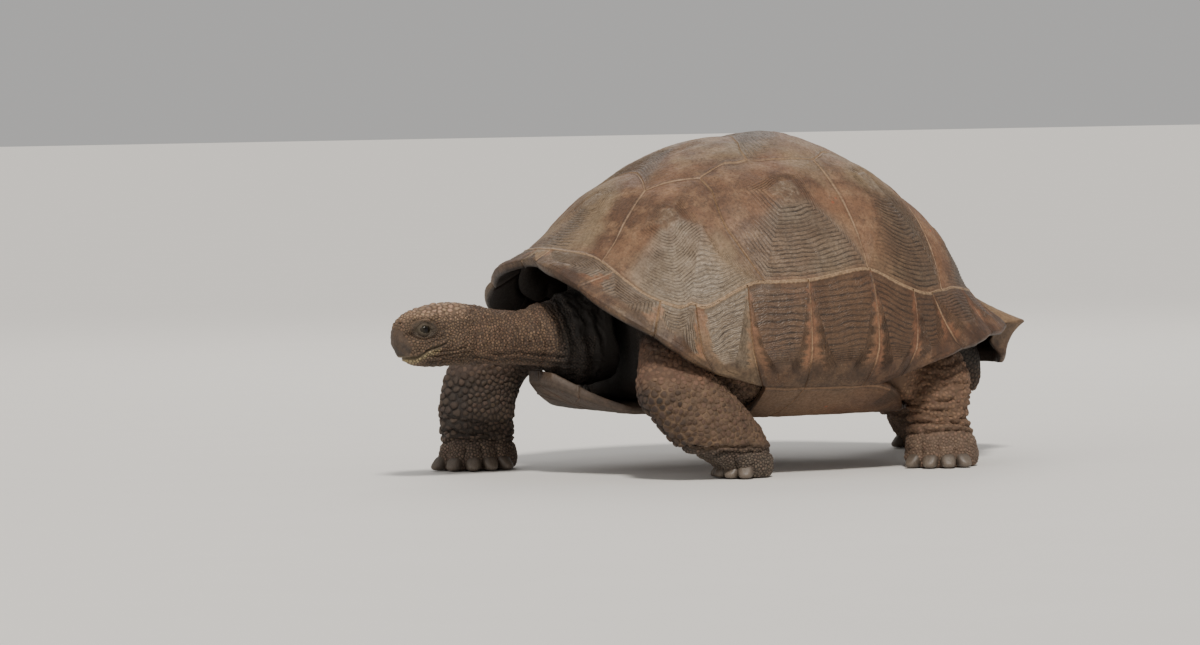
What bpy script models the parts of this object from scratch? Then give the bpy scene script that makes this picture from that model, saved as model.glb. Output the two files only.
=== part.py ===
"""A life-size giant tortoise in mid stride, as a still museum model.

Frame: metres, +Z up. The head faces -Y and the animal's left side is +X. The origin is on the floor,
under the middle of the whole length.

The carapace is one smooth dome, given by shell_point(). A place on it is an angle round the dome from
the nose (0) to the tail (180) and a ring, 0 at the crown and 1 at the rim. Every horny plate is a patch
of that dome. The flesh is lofted from rings, and parted with thin gaps where a limb leaves the trunk.
"""

import math

import bmesh
import bpy
import numpy as np
from mathutils import Vector

# ---------------------------------------------------------------- driving dimensions
HEAD_REACH = 0.813  # snout tip to the middle of the shell
REAR_REACH = 0.582  # middle of the shell to the tail lip
SHELL_Y = (HEAD_REACH - REAR_REACH) / 2  # the middle of the shell in the part's frame

SHELL_HALF_WIDTH = 0.392
SHELL_HALF_FRONT = 0.490
SHELL_HALF_REAR = 0.470
SHELL_SETBACK = -0.025
SHELL_CROWN_Z = 0.653
SHELL_GIRTH_Z = 0.245  # height of the widest line
SHELL_TUCK = 0.140  # depth of the tuck below the widest line
PLAN_POWER_FRONT, PLAN_POWER_REAR = 2.6, 2.05
DOME_POWER_SIDE, DOME_POWER_FRONT, DOME_POWER_REAR = 1.85, 1.95, 1.62
FLARE_START, FLARE_POWER, LOBE_POWER = 0.80, 1.6, 3  # the ring where the rim turns outwards, and how sharply
TUCK_POWER = 0.6
REAR_PINCH, PINCH_FROM, PINCH_TO = 0.027, 0.38, 0.82  # the dome draws in above the rear rim
APRON_DROP, APRON_INSET, APRON_RING = 0.084, 0.040, 1.25

# Height of the rim, and how far it flares, by angle in degrees from the nose.
RIM_HEIGHT = (
    (0, 0.418), (18, 0.398), (30, 0.361), (43, 0.302), (52, 0.248), (60, 0.197), (72, 0.172),
    (98, 0.168), (108, 0.190), (122, 0.234), (137, 0.257), (151, 0.263), (180, 0.268),
)
RIM_FLARE = (
    (0, 0.058), (20, 0.058), (40, 0.050), (60, 0.018), (75, 0.0), (105, 0.0), (120, 0.020),
    (137, 0.028), (151, 0.032), (162, 0.040), (167, 0.055), (171, 0.106), (180, 0.123),
)
# How far the rim bulges in the middle of a marginal plate.
RIM_LOBE = (
    (0, 0.010), (48, 0.012), (62, 0.0), (108, 0.0), (125, 0.008), (150, 0.010), (164, 0.006), (180, 0.0),
)
# Ring of the seam between the costal plates and the marginal plates.
MARGINAL_LINE = (
    (0, 0.950), (18, 0.920), (28, 0.900), (42, 0.908), (50, 0.880), (54, 0.810), (60, 0.672),
    (69, 0.580), (80, 0.568), (97, 0.541), (108, 0.638), (118, 0.748), (128, 0.808),
    (146, 0.850), (180, 0.858),
)
# Angles of the seams beside the marginal plates, nuchal first, at the line and at the rim.
SEAM_AT_LINE = (4.5, 33, 46, 53.5, 65, 80, 98, 110.4, 117.5, 137, 150, 164)
SEAM_AT_RIM = (4.5, 27, 46.6, 57.7, 68.1, 79, 95.4, 106, 122.5, 137, 151, 166)
LINE_STEP = 7.5  # the largest step between points along the line, in degrees

# Corners of the plates on the crown, as (back, left) on the unit disc, nose at (-1, 0).
VERTEBRAL_ENDS = ((-0.525, 0.255), (-0.108, 0.213), (0.337, 0.179), (0.600, 0.170))
COSTAL_TOPS = ((-0.302, 0.309), (0.043, 0.222), (0.400, 0.280))
COSTAL_FEET = (69, 97.2, 122.2)  # angles where the costal seams meet the line
FIRST_CORNER, LAST_CORNER = 27.9, 158  # where vertebral 1 and 5 meet the line beside the costals
VERTEBRAL_MIDDLES = (-0.720, -0.310, 0.115, 0.470, 0.700)
COSTAL_MIDDLES = ((-0.471, 0.424), (-0.069, 0.330), (0.190, 0.345), (0.550, 0.370))

PLATE = 0.010  # thickness of a plate on the dome
RIM_PLATE = 0.017  # and at the front and rear rim
PLATE_GAP = 0.0008  # from each plate to the seam
EDGE_STEP = 0.050  # the longest edge along a seam
GROOVE = 0.0015  # depth of the seam below the dome
CROWN_RINGS, MARGINAL_RINGS, TAIL_RINGS = (0.45, 0.82, 1), (0.80, 1), (0.55, 0.85, 1)
RIM_EDGE = 0.3  # share of the thickness rounded off at the rim
DOME_VERTEBRAL, DOME_COSTAL, DOME_MARGINAL = 0.009, 0.008, 0.003

PLASTRON_Z = 0.110  # the lowest level of the belly plates
FRONT_TILT, FRONT_TILT_FROM, FRONT_TILT_TO = 0.012, -0.15, -0.30
PLASTRON = 0.014
PLASTRON_LIP = 0.018  # added thickness at the front
FRONT_RISE, FRONT_RISE_FROM, FRONT_RISE_SPAN = 0.058, -0.38, 0.13
FRONT_POWER, WING_POWER = 1.5, 1.7
WING_FROM, WING_TO, WING_RISE = 0.24, 0.355, 0.054  # the bridge climbs from the belly to the rim
# Belly outline, as (left, back), with the seam of each pair at the midline.
BELLY_EDGE_FRONT = ((0.050, -0.503), (0.095, -0.465), (0.165, -0.405), (0.200, -0.310))
BELLY_NOTCH = (0.235, -0.195)
PECTORAL_MIDDLE = (0.210, -0.185)
BELLY_EDGE_REAR = ((0.200, 0.190), (0.150, 0.270), (0.085, 0.335))
BELLY_SEAMS = (-0.505, -0.430, -0.275, -0.205, 0.085, 0.215, 0.300)
BRIDGE_ANGLES = (69, 79, 92, 106)
BRIDGE_INSET = 0.985

TRUNK_DEPTH = 0.032
TRUNK_RING_FRONT, TRUNK_RING_SIDE, TRUNK_RING_REAR = 0.74, 0.94, 0.80
TRUNK_SIDES = 28
TRUNK_SHARES, TRUNK_FLOOR_SHARES = (0.3, 0.6, 0.82, 1), (0.90, 0.5)
TRUNK_CLEAR = 0.010  # above the belly plates
SKIN_GAP = 0.0006

EYE_RADIUS = 0.0115
EYE_PLACE = (0.0425, -0.7655, 0.2939)
CLAW_LENGTH, CLAW_HALF_WIDTH, CLAW_SIDES = 0.014, 0.013, 8

SHELL_COLOUR = (0.115, 0.078, 0.056)
SKIN_COLOUR = (0.105, 0.078, 0.062)
EYE_COLOUR = (0.010, 0.008, 0.006)


# ---------------------------------------------------------------- curves and the dome
def knots(table, degrees):
    """Reads a smooth curve through a table of (angle, value), with no overshoot."""
    xs, ys = np.array(table, float).T
    slopes = np.diff(ys) / np.diff(xs)
    tangents = np.zeros(len(xs))
    before, after = slopes[:-1], slopes[1:]
    same = before * after > 0
    tangents[1:-1][same] = 2 * before[same] * after[same] / (before[same] + after[same])
    i = int(np.clip(np.searchsorted(xs, degrees, side="right") - 1, 0, len(xs) - 2))
    span = xs[i + 1] - xs[i]
    t = (degrees - xs[i]) / span
    return (
        (2 * t**3 - 3 * t**2 + 1) * ys[i]
        + (t**3 - 2 * t**2 + t) * span * tangents[i]
        + (3 * t**2 - 2 * t**3) * ys[i + 1]
        + (t**3 - t**2) * span * tangents[i + 1]
    )


def mix(a, b, t):
    return a + (b - a) * t


def lobe(degrees):
    """How far the rim bulges between two marginal seams."""
    i = int(np.searchsorted(SEAM_AT_RIM, degrees))
    if i in (0, len(SEAM_AT_RIM)):
        return 0.0
    share = (degrees - SEAM_AT_RIM[i - 1]) / (SEAM_AT_RIM[i] - SEAM_AT_RIM[i - 1])
    return knots(RIM_LOBE, degrees) * math.sin(math.pi * share)


def shell_point(angle, ring):
    """A point of the dome. The angle is in radians and negative on the right side."""
    side = -1 if angle < 0 else 1
    turn = abs(angle)
    c, s = math.cos(turn), math.sin(turn)
    front = c > 0
    power = PLAN_POWER_FRONT if front else PLAN_POWER_REAR
    half = SHELL_HALF_FRONT if front else SHELL_HALF_REAR
    k = (abs(c) ** power + abs(s) ** power) ** (-1 / power)
    x, y = SHELL_HALF_WIDTH * s * k, -half * c * k
    m = mix(DOME_POWER_SIDE, DOME_POWER_FRONT if front else DOME_POWER_REAR, c * c)
    rise = SHELL_CROWN_Z - SHELL_GIRTH_Z
    rim = knots(RIM_HEIGHT, math.degrees(turn))
    above = (rim - SHELL_GIRTH_Z) / rise
    if above > 0:
        full = math.acos(above ** (m / 2))
    else:
        full = math.pi / 2 + math.asin(min(1, (SHELL_GIRTH_Z - rim) / SHELL_TUCK))
    down = min(ring, 1) * full
    if down <= math.pi / 2:
        z = SHELL_GIRTH_Z + rise * math.cos(down) ** (2 / m)
        out = math.sin(down) ** (2 / m)
    else:
        z = SHELL_GIRTH_Z + SHELL_TUCK * math.cos(down)
        out = math.sin(down) ** TUCK_POWER
    reach = math.hypot(x, y)
    outer = max(0, (min(ring, 1) - FLARE_START) / (1 - FLARE_START))
    draw = min(1, max(0, (ring - PINCH_FROM) / (PINCH_TO - PINCH_FROM)))
    pinch = REAR_PINCH * max(0, -c) ** 3 * draw**2 * (3 - 2 * draw) * (1 - outer**FLARE_POWER)
    flare = knots(RIM_FLARE, math.degrees(turn)) * outer**FLARE_POWER
    flare += lobe(math.degrees(turn)) * outer**LOBE_POWER
    if ring > 1:  # the tail apron hangs below the lip and turns in
        fall = min(1, (ring - 1) / (APRON_RING - 1))
        z -= APRON_DROP * fall
        flare -= APRON_INSET * (1 - (1 - fall) ** 3)
    scale = out + (flare - pinch) / reach
    return Vector((side * x * scale, y * scale + SHELL_SETBACK + SHELL_Y, z))


def disc_point(back, left):
    return shell_point(math.atan2(left, -back), math.hypot(back, left))


def polar(back, left):
    """The angle in degrees and the ring of a place on the unit disc."""
    return math.degrees(math.atan2(left, -back)), math.hypot(back, left)


def on_disc(degrees, ring):
    turn = math.radians(degrees)
    return -ring * math.cos(turn), ring * math.sin(turn)


def shell_normal(back, left, past_rim):
    """The outward normal. Unless past_rim is set, it keeps to the dome just inside the rim."""
    step = 2e-3
    inside = 1 if past_rim else min(1, (1 - step) / max(math.hypot(back, left), step))
    back, left = back * inside, left * inside
    across = disc_point(back, left + step) - disc_point(back, left - step)
    along = disc_point(back + step, left) - disc_point(back - step, left)
    return across.cross(along).normalized()


def line_ring(degrees):
    return knots(MARGINAL_LINE, abs(degrees))


# ---------------------------------------------------------------- objects
def collection(name):
    made = bpy.data.collections.new(name)
    bpy.context.scene.collection.children.link(made)
    return made


def material(name, colour, roughness):
    made = bpy.data.materials.new(name)
    made.use_nodes = True
    shader = made.node_tree.nodes["Principled BSDF"]
    shader.inputs["Base Color"].default_value = (*colour, 1)
    shader.inputs["Roughness"].default_value = roughness
    return made


def mesh_object(name, bm, finish, group, smooth=True):
    """Makes an object of a bmesh, with its faces pointing out."""
    bmesh.ops.remove_doubles(bm, verts=bm.verts, dist=1e-6)
    bmesh.ops.recalc_face_normals(bm, faces=bm.faces)
    mesh = bpy.data.meshes.new(name)
    bm.to_mesh(mesh)
    bm.free()
    if smooth:
        mesh.shade_smooth()
    mesh.materials.append(finish)
    made = bpy.data.objects.new(name, mesh)
    group.objects.link(made)
    return made


def helper(made):
    made.hide_render = True
    made.display_type = "WIRE"
    return made


def boolean(target, other, operation):
    modifier = target.modifiers.new(operation.lower() + "_" + other.name, "BOOLEAN")
    modifier.operation = operation
    modifier.object = other
    modifier.solver = "EXACT"


# ---------------------------------------------------------------- plates of the carapace
def edge_points(start, end, place):
    """Points from start up to end, in the plate's own chart, spaced by their real distance."""
    start, end = np.array(start), np.array(end)
    count = max(1, round((place(*start) - place(*end)).length / EDGE_STEP))
    return [tuple(mix(start, end, i / count)) for i in range(count)]


def line_points(first, last):
    """Points along the marginal line between two angles, the same for the plates on both sides."""
    fixed = sorted({*SEAM_AT_LINE, *COSTAL_FEET, FIRST_CORNER, LAST_CORNER, 0, 180})
    stations = []
    for low, high in zip(fixed, fixed[1:]):
        count = math.ceil((high - low) / LINE_STEP)
        stations += [low + (high - low) * i / count for i in range(count)]
    stations.append(180)
    inside = [a for a in stations if first - 1e-6 <= a <= last + 1e-6]
    return [(a, line_ring(a)) for a in inside]


def thickness_at(degrees, ring):
    """Plates grow thicker towards the flared rim, front and rear."""
    flare = knots(RIM_FLARE, abs(degrees)) / 0.06
    return mix(PLATE, RIM_PLATE, min(1, flare) * min(1, max(0, (ring - 0.85) / 0.12)))


def plate(name, outline, middle, dome, rings, chart, finish, group):
    """One plate: a domed patch round its middle, walls along the seams, and a plain underside."""

    def disc_of(a, b):
        return (a, b) if chart == "disc" else on_disc(a, b)

    def place(a, b, lift):
        disc = disc_of(a, b)
        return disc_point(*disc) + shell_normal(*disc, name == "supracaudal") * lift

    bm = bmesh.new()
    centre = bm.verts.new(place(*middle, dome))
    loops = []
    for share in rings:
        loop = []
        for point in outline:
            reach = (place(*point, 0) - place(*middle, 0)).length
            t = share * (1 - PLATE_GAP / reach)
            at = mix(np.array(middle), np.array(point), t)
            lift = dome * (1 - share**2) - GROOVE * share**8
            if share == 1 and polar(*disc_of(*point))[1] > 0.999:
                lift -= RIM_EDGE * thickness_at(*polar(*disc_of(*point)))
            loop.append(bm.verts.new(place(*at, lift)))
        loops.append(loop)
    under = []
    for point in outline:
        reach = (place(*point, 0) - place(*middle, 0)).length
        at = mix(np.array(middle), np.array(point), 1 - PLATE_GAP / reach)
        turn, ring = polar(*disc_of(*point))
        depth = thickness_at(turn, ring) * (1 - RIM_EDGE / 2 if ring > 0.999 else 1)
        under.append(bm.verts.new(place(*at, -depth)))
    turn, ring = polar(*disc_of(*middle))
    base = bm.verts.new(place(*middle, -thickness_at(turn, ring)))
    loops.append(under)
    count = len(outline)
    for i in range(count):
        j = (i + 1) % count
        bm.faces.new((centre, loops[0][i], loops[0][j]))
        for inner, outer in zip(loops, loops[1:]):
            bm.faces.new((inner[i], outer[i], outer[j], inner[j]))
        bm.faces.new((base, under[j], under[i]))
    bmesh.ops.triangulate(bm, faces=bm.faces, quad_method="SHORT_EDGE")
    return mesh_object(name, bm, finish, group)


def mirrored(outline):
    """The same outline on the right side, in the opposite order."""
    return [(a, -b) for a, b in reversed(outline)]


def closed_over(half):
    """A whole outline from its left half, which starts and ends on the midline."""
    return half + [(a, -b) for a, b in reversed(half) if abs(b) > 1e-9]


def chain(corners, place):
    points = []
    for start, end in zip(corners, corners[1:]):
        points += edge_points(start, end, place)
    return points


def build_vertebrals(finish, group):
    ends, tops = VERTEBRAL_ENDS, COSTAL_TOPS
    first = [on_disc(*p) for p in line_points(0, FIRST_CORNER)]
    last = [on_disc(*p) for p in line_points(LAST_CORNER, 180)]
    halves = [first[:-1] + chain([first[-1], ends[0], (ends[0][0], 0)], disc_point)]
    for i in range(3):
        halves.append(chain([(ends[i][0], 0), ends[i], tops[i], ends[i + 1], (ends[i + 1][0], 0)], disc_point))
    halves.append(chain([(ends[3][0], 0), ends[3], last[0]], disc_point) + last)
    for i, half in enumerate(halves):
        tail = (-line_ring(0), 0) if i == 0 else (ends[min(i, 3)][0], 0)
        if i < 4:
            half.append((ends[i][0], 0))
        if i == 0:
            half[0] = tail
        plate(f"vertebral_{i + 1}", closed_over(half), (VERTEBRAL_MIDDLES[i], 0.0), DOME_VERTEBRAL,
              CROWN_RINGS, "disc", finish, group)


def costal_outlines():
    ends, tops = VERTEBRAL_ENDS, COSTAL_TOPS
    feet = (FIRST_CORNER, *COSTAL_FEET, LAST_CORNER)
    upper = (
        (ends[0], tops[0]),
        (tops[0], ends[1], tops[1]),
        (tops[1], ends[2], tops[2]),
        (tops[2], ends[3]),
    )
    for i in range(4):
        line = [on_disc(*p) for p in line_points(feet[i], feet[i + 1])]
        yield line[:-1] + chain([line[-1], *reversed(upper[i]), line[0]], disc_point)


def build_costals(finish, group):
    for i, outline in enumerate(costal_outlines()):
        for side, points, sign in (("left", outline, 1), ("right", mirrored(outline), -1)):
            middle = (COSTAL_MIDDLES[i][0], sign * COSTAL_MIDDLES[i][1])
            plate(f"costal_{side}_{i + 1}", points, middle, DOME_COSTAL, CROWN_RINGS, "disc", finish, group)


def turned(angle, ring):
    return shell_point(math.radians(angle), ring)


def build_marginals(finish, group):
    for i in range(11):
        top = line_points(SEAM_AT_LINE[i], SEAM_AT_LINE[i + 1])
        low, high = (SEAM_AT_RIM[i], 1.0), (SEAM_AT_RIM[i + 1], 1.0)
        outline = top[:-1] + chain([top[-1], high, low, top[0]], turned)
        middle = (
            (SEAM_AT_LINE[i] + SEAM_AT_LINE[i + 1] + SEAM_AT_RIM[i] + SEAM_AT_RIM[i + 1]) / 4,
            mix(line_ring((SEAM_AT_LINE[i] + SEAM_AT_LINE[i + 1]) / 2), 1, 0.55),
        )
        for side, sign in (("left", 1), ("right", -1)):
            points = outline if sign > 0 else [(-a, r) for a, r in reversed(outline)]
            plate(f"marginal_{side}_{i + 1}", points, (sign * middle[0], middle[1]), DOME_MARGINAL,
                  MARGINAL_RINGS, "polar", finish, group)


def build_nuchal(finish, group):
    half = SEAM_AT_RIM[0]
    rim, line = 1.0, line_ring(half)
    outline = [(-half, line), (0, line_ring(0)), (half, line), (half, rim), (0, rim), (-half, rim)]
    plate("nuchal", outline, (0.0, (rim + line) / 2), DOME_MARGINAL, MARGINAL_RINGS, "polar", finish, group)


def build_supracaudal(finish, group):
    """The tail plate, whose apron hangs below the lip. Its chart counts the angle from the tail."""
    top = [(180 - a, r) for a, r in line_points(SEAM_AT_LINE[-1], 180)]
    side = [(180 - SEAM_AT_RIM[-1], 1.0), (12.5, 1.10), (10.0, 1.20), (5.0, APRON_RING), (0.0, APRON_RING)]
    half = list(reversed(top)) + side
    outline = half + [(-a, r) for a, r in reversed(half) if a > 1e-9]
    spun = [on_disc(180 - a, r) for a, r in outline]
    plate("supracaudal", spun, on_disc(180, 0.985), DOME_MARGINAL, TAIL_RINGS, "disc", finish, group)


# ---------------------------------------------------------------- belly plates
def belly_z(x, u):
    front = max(0.0, (FRONT_RISE_FROM - u) / FRONT_RISE_SPAN)
    tilt = min(1.0, max(0.0, (u - FRONT_TILT_FROM) / (FRONT_TILT_TO - FRONT_TILT_FROM)))
    wing = min(1.0, max(0.0, (abs(x) - WING_FROM) / (WING_TO - WING_FROM)))
    return PLASTRON_Z + FRONT_TILT * tilt + FRONT_RISE * front**FRONT_POWER + WING_RISE * wing**WING_POWER


def belly_point(x, u, lift=0.0):
    return Vector((x, u + SHELL_Y, belly_z(x, u) + lift))


def build_belly(finish, group):
    """Six pairs of flat plates, each a patch with a plain inner side."""
    bridge = [turned(a, 1.0) * BRIDGE_INSET for a in BRIDGE_ANGLES]
    bridge = [(p.x, p.y / BRIDGE_INSET - SHELL_Y) for p in bridge]
    front, rear = BELLY_EDGE_FRONT, BELLY_EDGE_REAR
    seams = [(0.0, u) for u in BELLY_SEAMS]
    outlines = {
        "gular": [seams[0], front[0], front[1], seams[1]],
        "humeral": [seams[1], front[1], front[2], front[3], seams[2]],
        "pectoral": [seams[2], front[3], BELLY_NOTCH, bridge[0], bridge[1], seams[3]],
        "abdominal": [seams[3], bridge[1], bridge[2], bridge[3], rear[0], seams[4]],
        "femoral": [seams[4], rear[0], rear[1], seams[5]],
        "anal": [seams[5], rear[1], rear[2], seams[6]],
    }
    for name, corners in outlines.items():
        points = chain([*corners, corners[0]], belly_point)
        middle = np.mean(corners, axis=0) if name != "pectoral" else np.array(PECTORAL_MIDDLE)
        for side, sign in (("left", 1), ("right", -1)):
            bm = bmesh.new()
            loops = []
            for lift_share, shares in ((0, (0.6, 1)), (1, (1, 0.6))):
                for share in shares:
                    loop = []
                    for point in points:
                        reach = np.linalg.norm(np.array(point) - middle)
                        at = mix(middle, np.array(point), share * (1 - PLATE_GAP * 1.6 / reach))
                        rise = max(0.0, (FRONT_RISE_FROM - at[1]) / FRONT_RISE_SPAN)
                        thick = PLASTRON + PLASTRON_LIP * min(1, rise)
                        loop.append(bm.verts.new(belly_point(sign * at[0], at[1], lift_share * thick)))
                    loops.append(loop)
            count = len(points)
            for i in range(count):
                j = (i + 1) % count
                for first, second in zip(loops, loops[1:]):
                    bm.faces.new((first[i], first[j], second[j], second[i]))
            for loop in (loops[0], loops[-1]):
                hub = bm.verts.new(sum((v.co for v in loop), Vector()) / count)
                for i in range(count):
                    bm.faces.new((hub, loop[i], loop[(i + 1) % count]))
            mesh_object(f"{name}_{side}", bm, finish, group)


# ---------------------------------------------------------------- flesh
def loft(stations, sides, grow=0.0, power=2.2):
    """A closed tube through rings. A station is (centre, half width, half depth, normal or None).

    The centre counts its y from the middle of the shell. A ring's width runs level, across its normal.
    """
    centres = [Vector((c[0], c[1] + SHELL_Y, c[2])) for c, *_ in stations]
    bm = bmesh.new()
    rings = []
    for i, (_, a, b, normal) in enumerate(stations):
        if normal is None:
            normal = centres[min(i + 1, len(centres) - 1)] - centres[max(i - 1, 0)]
        normal = Vector(normal).normalized()
        level = Vector((1, 0, 0)) - normal * normal.x
        level.normalize()
        depth = normal.cross(level)
        centre = centres[i]
        if grow and i in (0, len(stations) - 1):
            centre = centre + normal * (grow if i else -grow)
        ring = []
        for k in range(sides):
            turn = 2 * math.pi * (k + 0.5) / sides
            c, s = math.cos(turn), math.sin(turn)
            r = (abs(c) ** power + abs(s) ** power) ** (-1 / power)
            ring.append(bm.verts.new(centre + level * ((a + grow) * c * r) + depth * ((b + grow) * s * r)))
        rings.append(ring)
    for first, second in zip(rings, rings[1:]):
        for k in range(sides):
            n = (k + 1) % sides
            bm.faces.new((first[k], first[n], second[n], second[k]))
    bmesh.ops.triangulate(bm, faces=bm.faces, quad_method="FIXED")
    bm.faces.new(rings[0])
    bm.faces.new(rings[-1])
    return bm


DOWN = (0, 0, -1)
LEGS = {
    "leg_front_left": (
        ((0.120, -0.280, 0.285), 0.050, 0.056, (0.60, -0.25, -0.75)),
        ((0.215, -0.325, 0.245), 0.055, 0.066, (0.60, -0.10, -0.78)),
        ((0.296, -0.358, 0.182), 0.056, 0.080, (0.15, 0.35, -0.93)),
        ((0.313, -0.308, 0.116), 0.052, 0.077, (0, 0.62, -0.78)),
        ((0.299, -0.227, 0.056), 0.052, 0.057, (0, 0.60, -0.80)),
        ((0.288, -0.205, 0.020), 0.056, 0.052, (0, 0.15, -0.99)),
        ((0.285, -0.203, 0.000), 0.050, 0.045, DOWN),
    ),
    "leg_front_right": (
        ((-0.120, -0.320, 0.285), 0.050, 0.056, (-0.60, -0.55, -0.60)),
        ((-0.190, -0.405, 0.250), 0.055, 0.066, (-0.50, -0.50, -0.70)),
        ((-0.246, -0.500, 0.196), 0.055, 0.079, (-0.10, -0.25, -0.96)),
        ((-0.256, -0.519, 0.128), 0.053, 0.079, DOWN),
        ((-0.254, -0.521, 0.060), 0.055, 0.074, DOWN),
        ((-0.250, -0.523, 0.022), 0.064, 0.083, DOWN),
        ((-0.250, -0.523, 0.000), 0.056, 0.075, DOWN),
    ),
    "leg_hind_left": (
        ((0.120, 0.200, 0.290), 0.056, 0.062, (0.60, 0.10, -0.78)),
        ((0.205, 0.225, 0.225), 0.062, 0.072, (0.55, 0.05, -0.83)),
        ((0.255, 0.236, 0.160), 0.061, 0.067, (0.20, 0, -0.98)),
        ((0.270, 0.228, 0.095), 0.056, 0.058, DOWN),
        ((0.270, 0.234, 0.045), 0.062, 0.071, DOWN),
        ((0.270, 0.236, 0.018), 0.065, 0.075, DOWN),
        ((0.270, 0.236, 0.000), 0.059, 0.068, DOWN),
    ),
    "leg_hind_right": (
        ((-0.120, 0.215, 0.280), 0.056, 0.062, (-0.50, 0.50, -0.70)),
        ((-0.185, 0.300, 0.215), 0.060, 0.070, (-0.40, 0.60, -0.70)),
        ((-0.225, 0.385, 0.153), 0.058, 0.067, (-0.10, 0.65, -0.75)),
        ((-0.240, 0.456, 0.096), 0.055, 0.062, (0, 0.50, -0.86)),
        ((-0.240, 0.493, 0.048), 0.060, 0.066, (0, 0.25, -0.97)),
        ((-0.240, 0.508, 0.018), 0.064, 0.072, DOWN),
        ((-0.240, 0.508, 0.000), 0.058, 0.066, DOWN),
    ),
}
LEG_SIDES = 16
# Claws: how many, and the first and last bearing from straight ahead towards the left side, in degrees.
CLAWS = {
    "leg_front_left": (5, -55, 60),
    "leg_front_right": (5, -2, 118),
    "leg_hind_left": (4, 12, 100),
    "leg_hind_right": (4, -100, -12),
}
NECK = (
    ((0, -0.370, 0.275), 0.084, 0.095, None),
    ((0, -0.440, 0.263), 0.080, 0.095, None),
    ((0, -0.497, 0.272), 0.067, 0.062, None),
    ((0, -0.550, 0.270), 0.057, 0.052, None),
    ((0, -0.605, 0.273), 0.056, 0.054, None),
    ((0, -0.6496, 0.2780), 0.0575, 0.0595, (0, -1, 0)),
)
TAIL = (
    ((0, 0.300, 0.285), 0.060, 0.055, None),
    ((0, 0.390, 0.245), 0.050, 0.045, None),
    ((0, 0.445, 0.195), 0.036, 0.034, None),
    ((0, 0.462, 0.150), 0.022, 0.021, None),
    ((0, 0.464, 0.126), 0.009, 0.009, DOWN),
)
# Head stations: distance from the middle of the shell, top, bottom, half width.
HEAD = (
    (-0.650, 0.3375, 0.2185, 0.0575),
    (-0.690, 0.3435, 0.2200, 0.0600),
    (-0.725, 0.3420, 0.2185, 0.0575),
    (-0.755, 0.3360, 0.2195, 0.0510),
    (-0.775, 0.3300, 0.2235, 0.0435),
    (-0.792, 0.3210, 0.2350, 0.0345),
    (-0.804, 0.3090, 0.2460, 0.0260),
    (-0.813, 0.2940, 0.2580, 0.0150),
)
MOUTH = ((-0.830, 0.2375), (-0.779, 0.2400), (-0.756, 0.2550), (-0.7355, 0.2615), (-0.7236, 0.2665))
HEAD_SIDES, HEAD_POWER = 20, 2.35
JAW_BACK = ((-0.702, 0.2300), (-0.696, 0.1900))


def head_stations():
    return tuple(((0, u, (top + low) / 2), a, (top - low) / 2, (0, -1, 0)) for u, top, low, a in HEAD)


def jaw_wedge(name, grow, group, finish):
    """A block below the mouth line, wider than the head."""
    side = [(u + grow, z + grow) for u, z in (*MOUTH, *JAW_BACK)] + [(MOUTH[0][0], JAW_BACK[-1][1])]
    bm = bmesh.new()
    walls = [[bm.verts.new((x, u + SHELL_Y, z)) for u, z in side] for x in (-0.09, 0.09)]
    for i in range(len(side)):
        j = (i + 1) % len(side)
        bm.faces.new((walls[0][i], walls[0][j], walls[1][j], walls[1][i]))
    bm.faces.new(walls[0])
    bm.faces.new(walls[1])
    return helper(mesh_object(name, bm, finish, group, smooth=False))


def eyeball(name, side, grow, finish, group):
    bm = bmesh.new()
    bmesh.ops.create_uvsphere(bm, u_segments=12, v_segments=8, radius=EYE_RADIUS + grow)
    at = Vector((side * EYE_PLACE[0], EYE_PLACE[1] + SHELL_Y, EYE_PLACE[2]))
    bmesh.ops.translate(bm, verts=bm.verts, vec=at)
    return mesh_object(name, bm, finish, group)


def build_head(skin, eye, parts, cutters):
    head = mesh_object("head", loft(head_stations(), HEAD_SIDES, power=HEAD_POWER), skin, parts)
    jaw = mesh_object("lower_jaw", loft(head_stations(), HEAD_SIDES, power=HEAD_POWER), skin, parts)
    boolean(head, jaw_wedge("mouth_cut", SKIN_GAP, cutters, skin), "DIFFERENCE")
    boolean(jaw, jaw_wedge("jaw_block", 0.0, cutters, skin), "INTERSECT")
    for name, side in (("left", 1), ("right", -1)):
        eyeball(f"eye_{name}", side, 0.0, eye, parts)
        boolean(head, helper(eyeball(f"socket_{name}", side, SKIN_GAP, skin, cutters)), "DIFFERENCE")


def claw_stations(root, bearing, length, half_width):
    """A blunt claw from inside the foot, forwards and down to just above the floor."""
    ahead = Vector((math.sin(bearing), -math.cos(bearing), 0))
    steps = ((-0.014, 0.018, 0.85, 0.012), (length * 0.6, 0.014, 1.0, 0.011), (length, 0.008, 0.6, 0.006))
    stations = []
    for along, z, width, depth in steps:
        at = root + ahead * along
        stations.append(((at.x, at.y, z), half_width * width, depth, tuple(ahead + Vector((0, 0, -0.25)))))
    return tuple(stations)


def build_legs(skin, parts, cutters):
    for name, stations in LEGS.items():
        leg = mesh_object(name, loft(stations, LEG_SIDES), skin, parts)
        count, first, last = CLAWS[name]
        (x, u, _), a, b, _ = stations[-2]
        for i in range(count):
            bearing = math.radians(mix(first, last, i / (count - 1)))
            c, s = math.cos(bearing), math.sin(bearing)
            reach = 0.96 / math.sqrt((s / a) ** 2 + (c / b) ** 2)
            root = Vector((x + s * reach, u - c * reach, 0))
            claw = loft(claw_stations(root, bearing, CLAW_LENGTH, CLAW_HALF_WIDTH), CLAW_SIDES)
            made = helper(mesh_object(f"{name}_claw_{i + 1}", claw, skin, cutters))
            boolean(leg, made, "UNION")


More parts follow.
